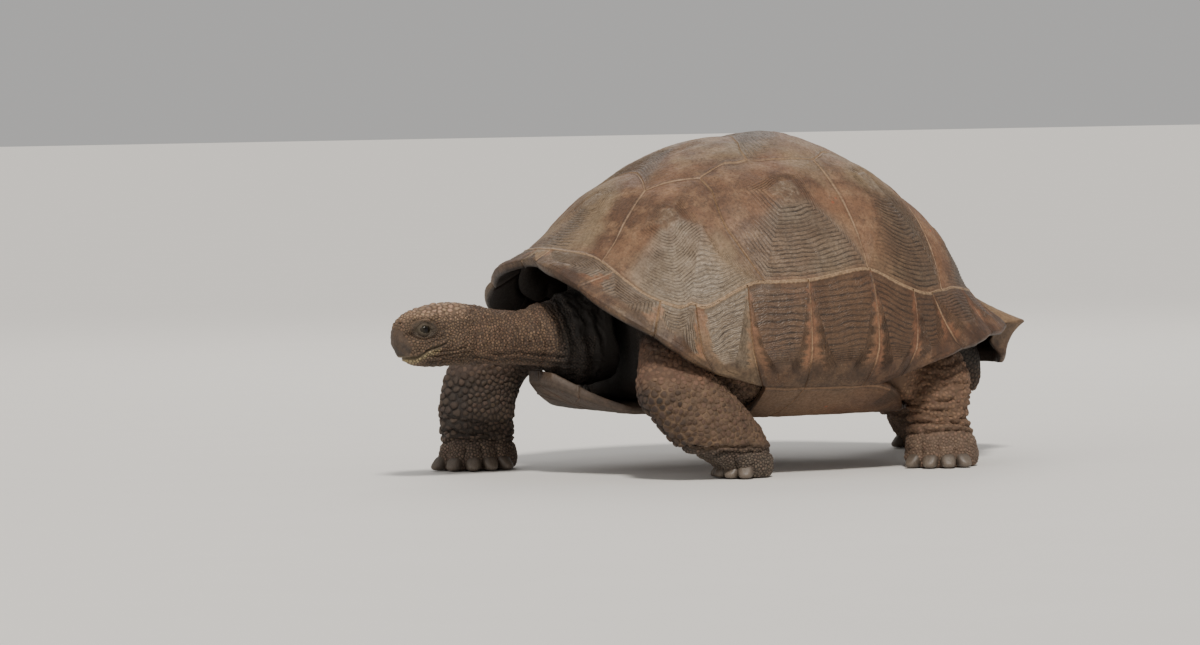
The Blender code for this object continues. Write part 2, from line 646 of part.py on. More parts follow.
def trunk_ring(degrees):
    """How far out the body fills the shell: far at the bridge, less at the openings."""
    c = math.cos(math.radians(degrees))
    end = TRUNK_RING_FRONT if c > 0 else TRUNK_RING_REAR
    return mix(TRUNK_RING_SIDE, end, min(1, max(0, (abs(c) - 0.15) / 0.35)))


def build_trunk(skin, parts, cutters):
    bm = bmesh.new()
    loops = []
    for share in TRUNK_SHARES:
        loop = []
        for k in range(TRUNK_SIDES):
            degrees = 360 * (k + 0.5) / TRUNK_SIDES - 180
            disc = on_disc(degrees, share * trunk_ring(degrees))
            loop.append(bm.verts.new(disc_point(*disc) - shell_normal(*disc, False) * TRUNK_DEPTH))
        loops.append(loop)
    for share in TRUNK_FLOOR_SHARES:
        loop = []
        for rim in loops[len(TRUNK_SHARES) - 1]:
            x, u = rim.co.x * share, (rim.co.y - SHELL_Y) * share
            rise = max(0.0, (FRONT_RISE_FROM - u) / FRONT_RISE_SPAN)
            lift = PLASTRON + PLASTRON_LIP * min(1, rise) + TRUNK_CLEAR
            loop.append(bm.verts.new(belly_point(x, u, lift)))
        loops.append(loop)
    crown = bm.verts.new(disc_point(0, 0) - shell_normal(0, 0, False) * TRUNK_DEPTH)
    base = bm.verts.new(belly_point(0, 0, PLASTRON + TRUNK_CLEAR))
    for k in range(TRUNK_SIDES):
        n = (k + 1) % TRUNK_SIDES
        bm.faces.new((crown, loops[0][k], loops[0][n]))
        for first, second in zip(loops, loops[1:]):
            bm.faces.new((first[k], first[n], second[n], second[k]))
        bm.faces.new((base, loops[-1][n], loops[-1][k]))
    trunk = mesh_object("trunk", bm, skin, parts)
    limbs = {**LEGS, "neck": NECK, "tail": TAIL}
    for name, stations in limbs.items():
        cutter = mesh_object(f"socket_{name}", loft(stations, LEG_SIDES, grow=SKIN_GAP), skin, cutters)
        boolean(trunk, helper(cutter), "DIFFERENCE")


def main():
    for old in list(bpy.data.objects):
        bpy.data.objects.remove(old)
    parts, cutters = collection("giant_tortoise"), collection("cutters")
    horn = material("shell_horn", SHELL_COLOUR, 0.45)
    skin = material("skin", SKIN_COLOUR, 0.75)
    eye = material("eye", EYE_COLOUR, 0.08)
    build_nuchal(horn, parts)
    build_vertebrals(horn, parts)
    build_costals(horn, parts)
    build_marginals(horn, parts)
    build_supracaudal(horn, parts)
    build_belly(horn, parts)
    build_head(skin, eye, parts, cutters)
    mesh_object("neck", loft(NECK, LEG_SIDES), skin, parts)
    mesh_object("tail", loft(TAIL, LEG_SIDES), skin, parts)
    build_legs(skin, parts, cutters)
    build_trunk(skin, parts, cutters)


main()
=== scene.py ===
"""A life-size giant tortoise in mid stride: horn, skin, scales, eyes and claws over its solid parts.

The head faces -Y, the animal's left side is +X, and the floor is z = 0. Heights and reaches are in
metres. "u" is the place along the body counted from the middle of the shell.
"""

import logging  # noqa: E402
import math  # noqa: E402
from dataclasses import dataclass, field  # noqa: E402
from enum import Enum  # noqa: E402
from typing import Any, Callable, Sequence  # noqa: E402

import bmesh  # noqa: E402
import bpy  # noqa: E402
import numpy as np  # noqa: E402
from mathutils import Matrix, Vector  # noqa: E402
from mathutils.bvhtree import BVHTree  # noqa: E402
from mathutils.kdtree import KDTree  # noqa: E402


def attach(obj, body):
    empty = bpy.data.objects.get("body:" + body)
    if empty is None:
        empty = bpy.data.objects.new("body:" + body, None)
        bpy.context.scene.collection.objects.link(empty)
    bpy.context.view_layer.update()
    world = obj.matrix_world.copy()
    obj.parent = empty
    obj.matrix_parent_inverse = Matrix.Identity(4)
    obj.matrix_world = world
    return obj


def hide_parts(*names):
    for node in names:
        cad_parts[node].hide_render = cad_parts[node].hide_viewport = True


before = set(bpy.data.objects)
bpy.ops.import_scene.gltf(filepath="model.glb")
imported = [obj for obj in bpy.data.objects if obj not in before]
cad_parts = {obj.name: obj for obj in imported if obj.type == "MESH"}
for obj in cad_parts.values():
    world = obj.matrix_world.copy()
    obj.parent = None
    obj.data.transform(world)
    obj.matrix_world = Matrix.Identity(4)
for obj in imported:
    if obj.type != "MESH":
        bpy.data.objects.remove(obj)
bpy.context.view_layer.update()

logging.basicConfig(level=logging.INFO, format="%(message)s")
LOG = logging.getLogger("tortoise")

Array = np.ndarray
Object = bpy.types.Object
Material = bpy.types.Material
Socket = bpy.types.NodeSocket
Pair = tuple[float, float]
Place = tuple[float, float, float]
Colour = tuple[float, float, float]
Station = tuple[Place, float, float, Place | None]
SHELL_Y = 0.1155  # where the middle of the shell is along Y
HEAD_FROM = -0.655  # "u" of the line between neck and head
FORE_LEGS_TO = -0.12  # "u" that the fore legs stay in front of
HIND_LEGS_FROM = 0.10  # "u" that the hind legs stay behind


# ---------------------------------------------------------------- small tools
def ripple(at: Array, wave: float, seed: int, octaves: int = 3) -> Array:
    """Smooth noise between about -1 and 1, made of seeded plane waves.

    Args:
        at: Places, one row each.
        wave: Wavelength of the coarsest waves.
        seed: Which noise it is.
        octaves: How many finer layers are added.

    Returns:
        One value per place.
    """
    rng = np.random.default_rng(seed)
    total = np.zeros(len(at))
    for octave in range(octaves):
        for _ in range(5):
            way = rng.normal(size=3)
            way *= 2 ** octave * rng.uniform(0.7, 1.3) * 2 * math.pi / wave / np.linalg.norm(way)
            total += np.sin(at @ way + rng.uniform(0, 2 * math.pi)) / 2 ** octave
    return total / 3.2


def ease(value: Array, low: float, high: float) -> Array:
    """A smooth step from 0 at low to 1 at high, which may be given in either order."""
    share = np.clip((value - low) / (high - low), 0.0, 1.0)
    return share * share * (3 - 2 * share)


def bell(value: Array, width: float) -> Array:
    """A smooth hump of height 1 at 0, down to a third at width."""
    return np.exp(-((value / width) ** 2))


def body_axes(points: Array) -> tuple[Array, Array, Array]:
    """Each place as x, "u" and z."""
    return points[:, 0], points[:, 1] - SHELL_Y, points[:, 2]


def hermite(t: Array | float, span: Array | float, start: Array, leave: Array, end: Array, arrive: Array,
            pull: float = 1.0) -> Array:
    """A smooth way from one value to the next.

    Args:
        t: Share of the way.
        span: Length of the way.
        start: Value at its start.
        leave: Slope there.
        end: Value at its end.
        arrive: Slope there.
        pull: Factor on both slopes.

    Returns:
        The value at t.
    """
    return ((2 * t**3 - 3 * t**2 + 1) * start + (t**3 - 2 * t**2 + t) * span * leave * pull
            + (3 * t**2 - 2 * t**3) * end + (t**3 - t**2) * span * arrive * pull)


def loft(loops: Sequence[Array]) -> tuple[Array, list[Array]]:
    """A closed tube through loops of vertices.

    Args:
        loops: Vertices of each loop, the same number in all.

    Returns:
        All vertices, and the faces of the sides and of the two caps.
    """
    count = len(loops[0])
    ring = np.arange(count)
    after = (ring + 1) % count
    sides = [np.stack([k * count + ring, k * count + after,
                       (k + 1) * count + after, (k + 1) * count + ring], axis=1)
             for k in range(len(loops) - 1)]
    caps = np.stack([ring[::-1], (len(loops) - 1) * count + ring])
    return np.concatenate(loops), [np.concatenate(sides), caps]


def deselect() -> None:
    """Leaves nothing selected."""
    if bpy.context.mode != "OBJECT":
        bpy.ops.object.mode_set(mode="OBJECT")
    bpy.ops.object.select_all(action="DESELECT")


def mesh_object(name: str, points: Array, faces: Sequence[Array], finish: Material | None = None,
                smooth: bool = True) -> Object:
    """Makes an object of arrays.

    Args:
        name: Name of the piece.
        points: One row per vertex.
        faces: Index arrays, each of faces with the same number of corners.
        finish: Its material.
        smooth: Whether the faces are shaded smooth.

    Returns:
        The new object, linked to the scene.
    """
    mesh = bpy.data.meshes.new(name)
    corners = np.concatenate([part.reshape(-1) for part in faces]).astype(np.int32)
    totals = np.concatenate([np.full(len(part), part.shape[1]) for part in faces]).astype(np.int32)
    starts = np.concatenate([[0], np.cumsum(totals)[:-1]]).astype(np.int32)
    mesh.vertices.add(len(points))
    mesh.vertices.foreach_set("co", np.ascontiguousarray(points, np.float32).reshape(-1))
    mesh.loops.add(len(corners))
    mesh.loops.foreach_set("vertex_index", corners)
    mesh.polygons.add(len(totals))
    mesh.polygons.foreach_set("loop_start", starts)
    mesh.polygons.foreach_set("loop_total", totals)
    mesh.update(calc_edges=True)
    mesh.validate()
    if smooth:
        mesh.shade_smooth()
    if finish is not None:
        mesh.materials.append(finish)
    made = bpy.data.objects.new(name, mesh)
    bpy.context.scene.collection.objects.link(made)
    return made


def read_mesh(made: Object) -> tuple[Array, Array]:
    """Reads an object's vertices.

    Args:
        made: The object.

    Returns:
        Their places and their normals.
    """
    mesh = made.data
    points = np.empty(len(mesh.vertices) * 3, np.float32)
    normals = np.empty(len(mesh.vertices) * 3, np.float32)
    mesh.vertices.foreach_get("co", points)
    mesh.vertex_normals.foreach_get("vector", normals)
    return points.reshape(-1, 3).astype(float), normals.reshape(-1, 3).astype(float)


def write_points(made: Object, points: Array) -> None:
    """Moves an object's vertices."""
    made.data.vertices.foreach_set("co", np.ascontiguousarray(points, np.float32).reshape(-1))
    made.data.update()


def vector_attribute(made: Object, name: str, values: Array) -> None:
    """Stores three numbers on each vertex, for the material to read."""
    layer = made.data.attributes.new(name, "FLOAT_VECTOR", "POINT")
    layer.data.foreach_set("vector", np.ascontiguousarray(values, np.float32).reshape(-1))


def colour_attribute(made: Object, name: str, values: Array) -> None:
    """Stores a colour on each vertex, for the material to read."""
    layer = made.data.attributes.new(name, "FLOAT_COLOR", "POINT")
    full = np.concatenate([values, np.ones((len(values), 1))], axis=1)
    layer.data.foreach_set("color", np.ascontiguousarray(full, np.float32).reshape(-1))


@dataclass(frozen=True)
class Curve:
    """A smooth curve through pairs of place and value, with no overshoot."""

    table: tuple[Pair, ...]

    def __call__(self, at: Array | float) -> Array:
        """Reads the curve.

        Args:
            at: Places along it.

        Returns:
            Its value at each.
        """
        xs, ys = np.array(self.table, float).T
        slopes = np.diff(ys) / np.diff(xs)
        before, after = slopes[:-1], slopes[1:]
        same = before * after > 0
        tangents = np.zeros(len(xs))
        tangents[1:-1][same] = 2 * before[same] * after[same] / (before[same] + after[same])
        at = np.asarray(at, float)
        i = np.clip(np.searchsorted(xs, at, side="right") - 1, 0, len(xs) - 2)
        span = xs[i + 1] - xs[i]
        t = (at - xs[i]) / span
        return hermite(t, span, ys[i], tangents[i], ys[i + 1], tangents[i + 1])


# ---------------------------------------------------------------- finishes
class Graph:
    """Short names for the shader nodes that the finishes use."""

    def __init__(self, tree: bpy.types.NodeTree) -> None:
        """Works on one node tree."""
        self.tree = tree

    def node(self, kind: str, inputs: dict[Any, Any] | None = None, **settings: Any) -> bpy.types.Node:
        """Adds a node.

        Args:
            kind: Its type, without the "ShaderNode" in front.
            inputs: What goes into each input: another socket, or a value.
            settings: Its properties.

        Returns:
            The node.
        """
        made = self.tree.nodes.new("ShaderNode" + kind)
        for name, value in settings.items():
            setattr(made, name, value)
        for name, value in (inputs or {}).items():
            if isinstance(value, Socket):
                self.tree.links.new(value, made.inputs[name])
            else:
                made.inputs[name].default_value = value
        return made

    def place(self) -> Socket:
        """Object coordinates."""
        return self.node("TexCoord").outputs["Object"]

    def stretch(self, at: Socket, scale: Place) -> Socket:
        """Coordinates scaled by axis."""
        return self.node("Mapping", {"Vector": at, "Scale": scale}).outputs[0]

    def attribute(self, name: str) -> tuple[Socket, Socket, Socket]:
        """The three numbers stored on each vertex under a name."""
        vector = self.node("Attribute", attribute_name=name).outputs["Vector"]
        split = self.node("SeparateXYZ", {0: vector})
        return split.outputs[0], split.outputs[1], split.outputs[2]

    def noise(self, at: Socket, scale: float, detail: float = 3.0, rough: float = 0.55) -> Socket:
        """Noise from 0 to 1."""
        return self.node("TexNoise", {"Vector": at, "Scale": scale, "Detail": detail,
                                      "Roughness": rough}).outputs["Fac"]

    def cells(self, at: Socket, scale: float, feature: str = "F1") -> Socket:
        """Cells of about 1/scale across."""
        return self.node("TexVoronoi", {"Vector": at, "Scale": scale}, feature=feature).outputs["Distance"]

    def sum(self, kind: str, a: Any, b: Any = 0.5, clamp: bool = False) -> Socket:
        """One arithmetic step."""
        return self.node("Math", {0: a, 1: b}, operation=kind, use_clamp=clamp).outputs[0]

    def times(self, a: Any, b: Any) -> Socket:
        """The product of two values."""
        return self.sum("MULTIPLY", a, b)

    def span(self, value: Socket, low: float, high: float, to_low: float = 0.0,
             to_high: float = 1.0) -> Socket:
        """A smooth step of a value from one span to another."""
        return self.node("MapRange", {0: value, 1: low, 2: high, 3: to_low, 4: to_high},
                         interpolation_type="SMOOTHSTEP").outputs[0]

    def mix(self, share: Any, a: Any, b: Any, blend: str = "MIX") -> Socket:
        """A blend of two colours, each a socket or a value.

        Args:
            share: How much of the second colour shows.
            a: The first colour.
            b: The second one.
            blend: How they are blended.

        Returns:
            The colour.
        """
        made = self.node("Mix", data_type="RGBA", blend_type=blend, clamp_factor=True)
        for index, value in ((0, share), (6, a), (7, b)):
            if isinstance(value, Socket):
                self.tree.links.new(value, made.inputs[index])
            else:
                made.inputs[index].default_value = (*value, 1) if isinstance(value, tuple) else value
        return made.outputs[2]


Effect = Callable[[Graph], dict[str, Socket]]


def effect_group(name: str, build: Effect) -> bpy.types.NodeTree:
    """Makes a node group of an effect.

    Args:
        name: Name of the group.
        build: Adds its nodes and returns its outputs by name; a name that ends in "Color" is a colour.

    Returns:
        The group.
    """
    tree = bpy.data.node_groups.new(name, "ShaderNodeTree")
    outputs = build(Graph(tree))
    end = tree.nodes.new("NodeGroupOutput")
    for label, socket in outputs.items():
        kind = "NodeSocketColor" if label.endswith("Color") else "NodeSocketFloat"
        tree.interface.new_socket(name=label, in_out="OUTPUT", socket_type=kind)
        tree.links.new(socket, end.inputs[label])
    return tree


@dataclass(frozen=True)
class Finish:
    """What all finishes have: a name, the bump's strength, and the metres that a height of 1 stands for."""

    name: str
    bump: float
    depth: float
    gloss: float = 0.5

    def effect(self, g: Graph) -> dict[str, Socket]:
        """Adds nodes for Color, Roughness and Height, each finish its own."""
        raise NotImplementedError(f"{self.name} has no effect for {g}")

    def material(self) -> Material:
        """Makes a material whose colour, roughness and bump come from the effect.

        Returns:
            The material.
        """
        made = bpy.data.materials.new(self.name)
        made.use_nodes = True
        graph = Graph(made.node_tree)
        shader = made.node_tree.nodes["Principled BSDF"]
        group = graph.node("Group")
        group.node_tree = effect_group(self.name + "_effect", self.effect)
        relief = graph.node("Bump", {"Height": group.outputs["Height"], "Strength": self.bump,
                                     "Distance": self.depth})
        for source, target in (("Color", "Base Color"), ("Roughness", "Roughness")):
            made.node_tree.links.new(group.outputs[source], shader.inputs[target])
        made.node_tree.links.new(relief.outputs[0], shader.inputs["Normal"])
        shader.inputs["Specular IOR Level"].default_value = self.gloss
        return made


@dataclass(frozen=True)
class HornFinish(Finish):
    """Worn horn of the shell: warm brown and grey, with growth lines and pale seams; the grey also paints
    sheen on plates that face the light, and the dark hem and underside are painted shade.
    """

    name: str = "worn_horn"
    bump: float = 0.7
    depth: float = 0.0013
    gloss: float = 0.36
    warm: Colour = (0.185, 0.094, 0.049)
    deep: Colour = (0.098, 0.050, 0.027)
    tan: Colour = (0.310, 0.182, 0.096)
    olive: Colour = (0.262, 0.190, 0.108)
    slate: Colour = (0.102, 0.069, 0.043)
    # grey of worn horn, also painted sheen on plates that face the light
    worn: Colour = (0.288, 0.230, 0.170)
    line: Colour = (0.020, 0.013, 0.009)
    cord: Colour = (0.300, 0.196, 0.114)
    blush: Colour = (0.250, 0.098, 0.047)
    # painted shade for the hem where the rim turns under, and for the apron
    hem: Colour = (0.042, 0.023, 0.014)
    fleck: Colour = (0.340, 0.080, 0.030)

    def effect(self, g: Graph) -> dict[str, Socket]:
        """Colour, roughness and height of the horn.

        Args:
            g: Where the nodes go.

        Returns:
            The outputs by name.
        """
        at = g.place()
        phase, strength, wedge = g.attribute("growth")
        edge, corded, rim = g.attribute("seam")
        wear_and_light, core, flush = g.attribute("age")
        broad = g.noise(at, 7.0, 4.0)
        patch = g.noise(at, 24.0, 5.0, 0.65)
        fine = g.noise(at, 170.0, 4.0, 0.7)
        # the ground: warm and deep brown, tan patches, olive clouds
        colour = g.mix(g.span(broad, 0.38, 0.62), self.deep, self.warm)
        colour = g.mix(g.span(patch, 0.45, 0.70, 0.0, 0.6), colour, self.tan)
        cloud = g.noise(g.stretch(at, (1.0, 1.0, 0.6)), 5.2, 4.0)
        colour = g.mix(g.span(cloud, 0.43, 0.60, 0.0, 0.62), colour, self.olive)
        colour = g.mix(g.times(flush, g.span(patch, 0.36, 0.62, 0.25, 0.85)), colour, self.blush)
        # the grey field that shows the rings, paler with wear and with painted sheen on plates facing the
        # light, and the blotched heart
        field = g.mix(g.times(wear_and_light, g.span(patch, 0.25, 0.60, 0.45, 1.0)), self.slate, self.worn)
        cloud = g.noise(at, 13.0, 5.0, 0.7)
        colour = g.mix(g.times(wedge, g.span(cloud, 0.32, 0.62, 1.0, 0.62)), colour, field)
        blotch = g.mix(g.span(g.noise(at, 75.0, 4.0, 0.7), 0.46, 0.68), self.slate, self.worn)
        colour = g.mix(g.times(core, g.span(patch, 0.30, 0.60, 0.20, 0.62)), colour, blotch)
        # a dark line in each growth ring, and finer rows between them
        turn = g.sum("COSINE", g.times(phase, 2 * math.pi))
        ring = g.sum("POWER", g.sum("MULTIPLY_ADD", turn, 0.5), 3.0)
        wobble = g.sum("MULTIPLY_ADD", g.noise(at, 60.0, 2.0), 1.4)
        rows = g.sum("COSINE", g.times(g.sum("ADD", phase, wobble), 5 * math.pi))
        rows = g.times(g.sum("MULTIPLY_ADD", rows, 0.5), strength)
        marks = g.times(g.times(ring, strength), g.span(patch, 0.25, 0.55, 0.35, 1.0))
        marks = g.times(marks, g.span(wear_and_light, 0.2, 1.0, 1.0, 0.72))
        colour = g.mix(marks, colour, self.line)
        colour = g.mix(g.times(rows, 0.24), colour, self.line)
        # the dark hem, painted shade where the rim turns under, a dark line beside each seam, and the pale
        # seam itself
        hem = g.times(g.span(rim, 0.05, 1.0, 0.0, 0.85), g.span(patch, 0.30, 0.66, 1.0, 0.55))
        colour = g.mix(hem, colour, self.hem)
        dark = g.times(g.span(edge, 10.0, 4.0, 0.0, 0.30), g.span(edge, 1.5, 3.5))
        colour = g.mix(dark, colour, self.line)
        soft = g.sum("ADD", edge, g.sum("MULTIPLY_ADD", g.noise(at, 190.0, 3.0), 2.6))
        wide = g.times(g.span(soft, 5.3, 3.5, 0.0, 0.92), corded)
        thin = g.times(g.span(soft, 4.6, 3.0, 0.0, 0.88), g.sum("SUBTRACT", 1.0, rim, clamp=True))
        thin = g.times(thin, g.span(broad, 0.30, 0.55, 0.60, 1.0))
        colour = g.mix(g.sum("MAXIMUM", wide, thin), colour, self.cord)
        # red flecks, grain, scuffs, and painted shade on the undersides of the plates
        spots = g.times(g.span(g.cells(at, 42.0), 0.20, 0.08), g.span(broad, 0.60, 0.68))
        colour = g.mix(g.times(spots, 0.8), colour, self.fleck)
        colour = g.mix(g.span(fine, 0.35, 0.75, 0.0, 0.52), colour, self.line)
        scuff = g.times(g.span(g.noise(at, 420.0, 2.0), 0.60, 0.72), g.span(patch, 0.4, 0.6))
        colour = g.mix(g.times(scuff, 0.35), colour, self.worn)
        colour = g.mix(g.span(rim, 1.2, 1.9, 0.0, 0.92), colour, self.line)
        rough = g.sum("SUBTRACT", g.span(fine, 0.2, 0.8, 0.44, 0.66), g.times(wedge, 0.06))
        height = g.sum("MULTIPLY_ADD", rows, 0.7)
        g.tree.links.new(fine, height.node.inputs[2])
        cross = g.times(g.cells(at, 300.0), wide)
        return {"Color": colour, "Roughness": rough, "Height": g.sum("ADD", height, cross)}


RIM_HORN = HornFinish("rim_horn", warm=(0.178, 0.080, 0.040), deep=(0.090, 0.042, 0.022),
                      tan=(0.272, 0.148, 0.076), olive=(0.182, 0.110, 0.060), slate=(0.086, 0.047, 0.026))
BELLY_HORN = HornFinish("belly_horn", warm=(0.170, 0.086, 0.045), deep=(0.090, 0.046, 0.026),
                        tan=(0.215, 0.118, 0.064), olive=(0.150, 0.092, 0.052), cord=(0.215, 0.124, 0.068))
LIP_HORN = HornFinish("lip_horn", warm=(0.082, 0.052, 0.034), deep=(0.048, 0.033, 0.024),
                      tan=(0.135, 0.078, 0.046), olive=(0.070, 0.052, 0.038), worn=(0.150, 0.110, 0.080),
                      cord=(0.110, 0.068, 0.042), hem=(0.060, 0.042, 0.030))


@dataclass(frozen=True)
class SkinFinish(Finish):
    """Dry wrinkled hide. Its markings come with each vertex, the same on the skin and on its scales."""

    name: str = "dry_hide"
    bump: float = 0.6
    depth: float = 0.0009
    grain: float = 420.0
    dusk: Colour = (0.50, 0.42, 0.38)
    dust: Colour = (1.55, 1.50, 1.45)
    crack: Colour = (0.45, 0.42, 0.40)

    def effect(self, g: Graph) -> dict[str, Socket]:
        """Colour, roughness and height of the hide.

        Args:
            g: Where the nodes go.

        Returns:
            The outputs by name.
        """
        at = g.place()
        tint = g.node("Attribute", attribute_name="tint").outputs["Color"]
        horny, _, _ = g.attribute("hide")
        broad = g.noise(at, 34.0, 5.0, 0.62)
        fine = g.noise(at, 260.0, 4.0, 0.7)
        colour = g.mix(g.span(broad, 0.35, 0.68, 0.0, 0.42), tint, g.mix(1.0, tint, self.dusk, "MULTIPLY"))
        colour = g.mix(g.span(fine, 0.50, 0.78, 0.0, 0.38), colour, g.mix(1.0, colour, self.dust, "MULTIPLY"))
        net = g.cells(at, self.grain, "DISTANCE_TO_EDGE")
        colour = g.mix(g.span(net, 0.10, 0.0, 0.0, 0.35), colour, g.mix(1.0, colour, self.crack, "MULTIPLY"))
        rough = g.sum("SUBTRACT", g.span(fine, 0.2, 0.8, 0.58, 0.82), g.times(horny, 0.12))
        height = g.sum("ADD", g.span(net, 0.0, 0.22), g.times(fine, 0.8))
        return {"Color": colour, "Roughness": rough, "Height": height}


@dataclass(frozen=True)
class EyeFinish(Finish):
    """A dark brown eye with a black pupil under a wet surface."""

    name: str = "wet_eye"
    bump: float = 0.05
    depth: float = 0.0002
    gloss: float = 0.22
    pupil: Colour = (0.004, 0.003, 0.003)
    white: Colour = (0.018, 0.012, 0.009)
    iris: Colour = (0.010, 0.008, 0.005)
    ring: Colour = (0.022, 0.018, 0.010)

    def effect(self, g: Graph) -> dict[str, Socket]:
        """Colour, roughness and height, from the vertex's own place on the ball.

        Args:
            g: Where the nodes go.

        Returns:
            The outputs by name.
        """
        out, along, up = g.attribute("aim")
        flat = g.node("CombineXYZ", {0: 0.0, 1: along, 2: up}).outputs[0]
        away = g.node("VectorMath", {0: flat}, operation="LENGTH").outputs["Value"]
        fleck = g.noise(g.place(), 1500.0, 3.0)
        colour = g.mix(g.span(away, 0.28, 0.34), self.pupil, self.iris)
        ring = g.times(g.span(away, 0.34, 0.62), g.span(fleck, 0.35, 0.7))
        colour = g.mix(ring, colour, self.ring)
        colour = g.mix(g.span(away, 0.66, 0.76), colour, self.white)
        rough = g.span(fleck, 0.0, 1.0, 0.10, 0.18)
        return {"Color": colour, "Roughness": rough, "Height": g.times(fleck, out)}


@dataclass(frozen=True)
class ClawFinish(Finish):
    """Grey, blunt claws with streaks from root to tip and a paler worn end."""

    name: str = "grey_claw"
    bump: float = 0.5
    depth: float = 0.0006
    dirt: Colour = (0.035, 0.027, 0.021)
    root: Colour = (0.070, 0.053, 0.040)
    tip: Colour = (0.150, 0.118, 0.090)

    def effect(self, g: Graph) -> dict[str, Socket]:
        """Colour, roughness and height, from the vertex's own place on the claw.

        Args:
            g: Where the nodes go.

        Returns:
            The outputs by name.
        """
        along, across, _ = g.attribute("aim")
        streak_at = g.node("CombineXYZ", {0: g.times(along, 0.4), 1: across, 2: 0.0}).outputs[0]
        streak = g.noise(streak_at, 9.0, 4.0, 0.7)
        fine = g.noise(g.place(), 500.0, 3.0)
        worn = g.sum("ADD", g.span(along, -0.2, 0.9, 0.0, 0.7), g.span(streak, 0.4, 0.7, -0.15, 0.25))
        colour = g.mix(worn, self.root, self.tip)
        colour = g.mix(g.span(fine, 0.45, 0.75, 0.0, 0.35), colour, self.dirt)
        return {"Color": colour, "Roughness": g.span(fine, 0.2, 0.8, 0.38, 0.62),
                "Height": g.sum("ADD", streak, g.times(fine, 0.4))}


@dataclass(frozen=True)
class FloorFinish(Finish):
    """Plain pale studio floor."""

    name: str = "pale_floor"
    bump: float = 0.05
    depth: float = 0.001
    cloud: Colour = (0.62, 0.60, 0.57)
    pale: Colour = (0.74, 0.72, 0.69)

    def effect(self, g: Graph) -> dict[str, Socket]:
        """Colour, roughness and height of the floor.

        Args:
            g: Where the nodes go.

        Returns:
            The outputs by name.
        """
        cloud = g.noise(g.place(), 3.0, 4.0)
        colour = g.mix(g.span(cloud, 0.3, 0.7, 0.0, 0.06), self.pale, self.cloud)
        return {"Color": colour, "Roughness": g.span(cloud, 0.2, 0.8, 0.6, 0.75),
                "Height": g.noise(g.place(), 220.0)}


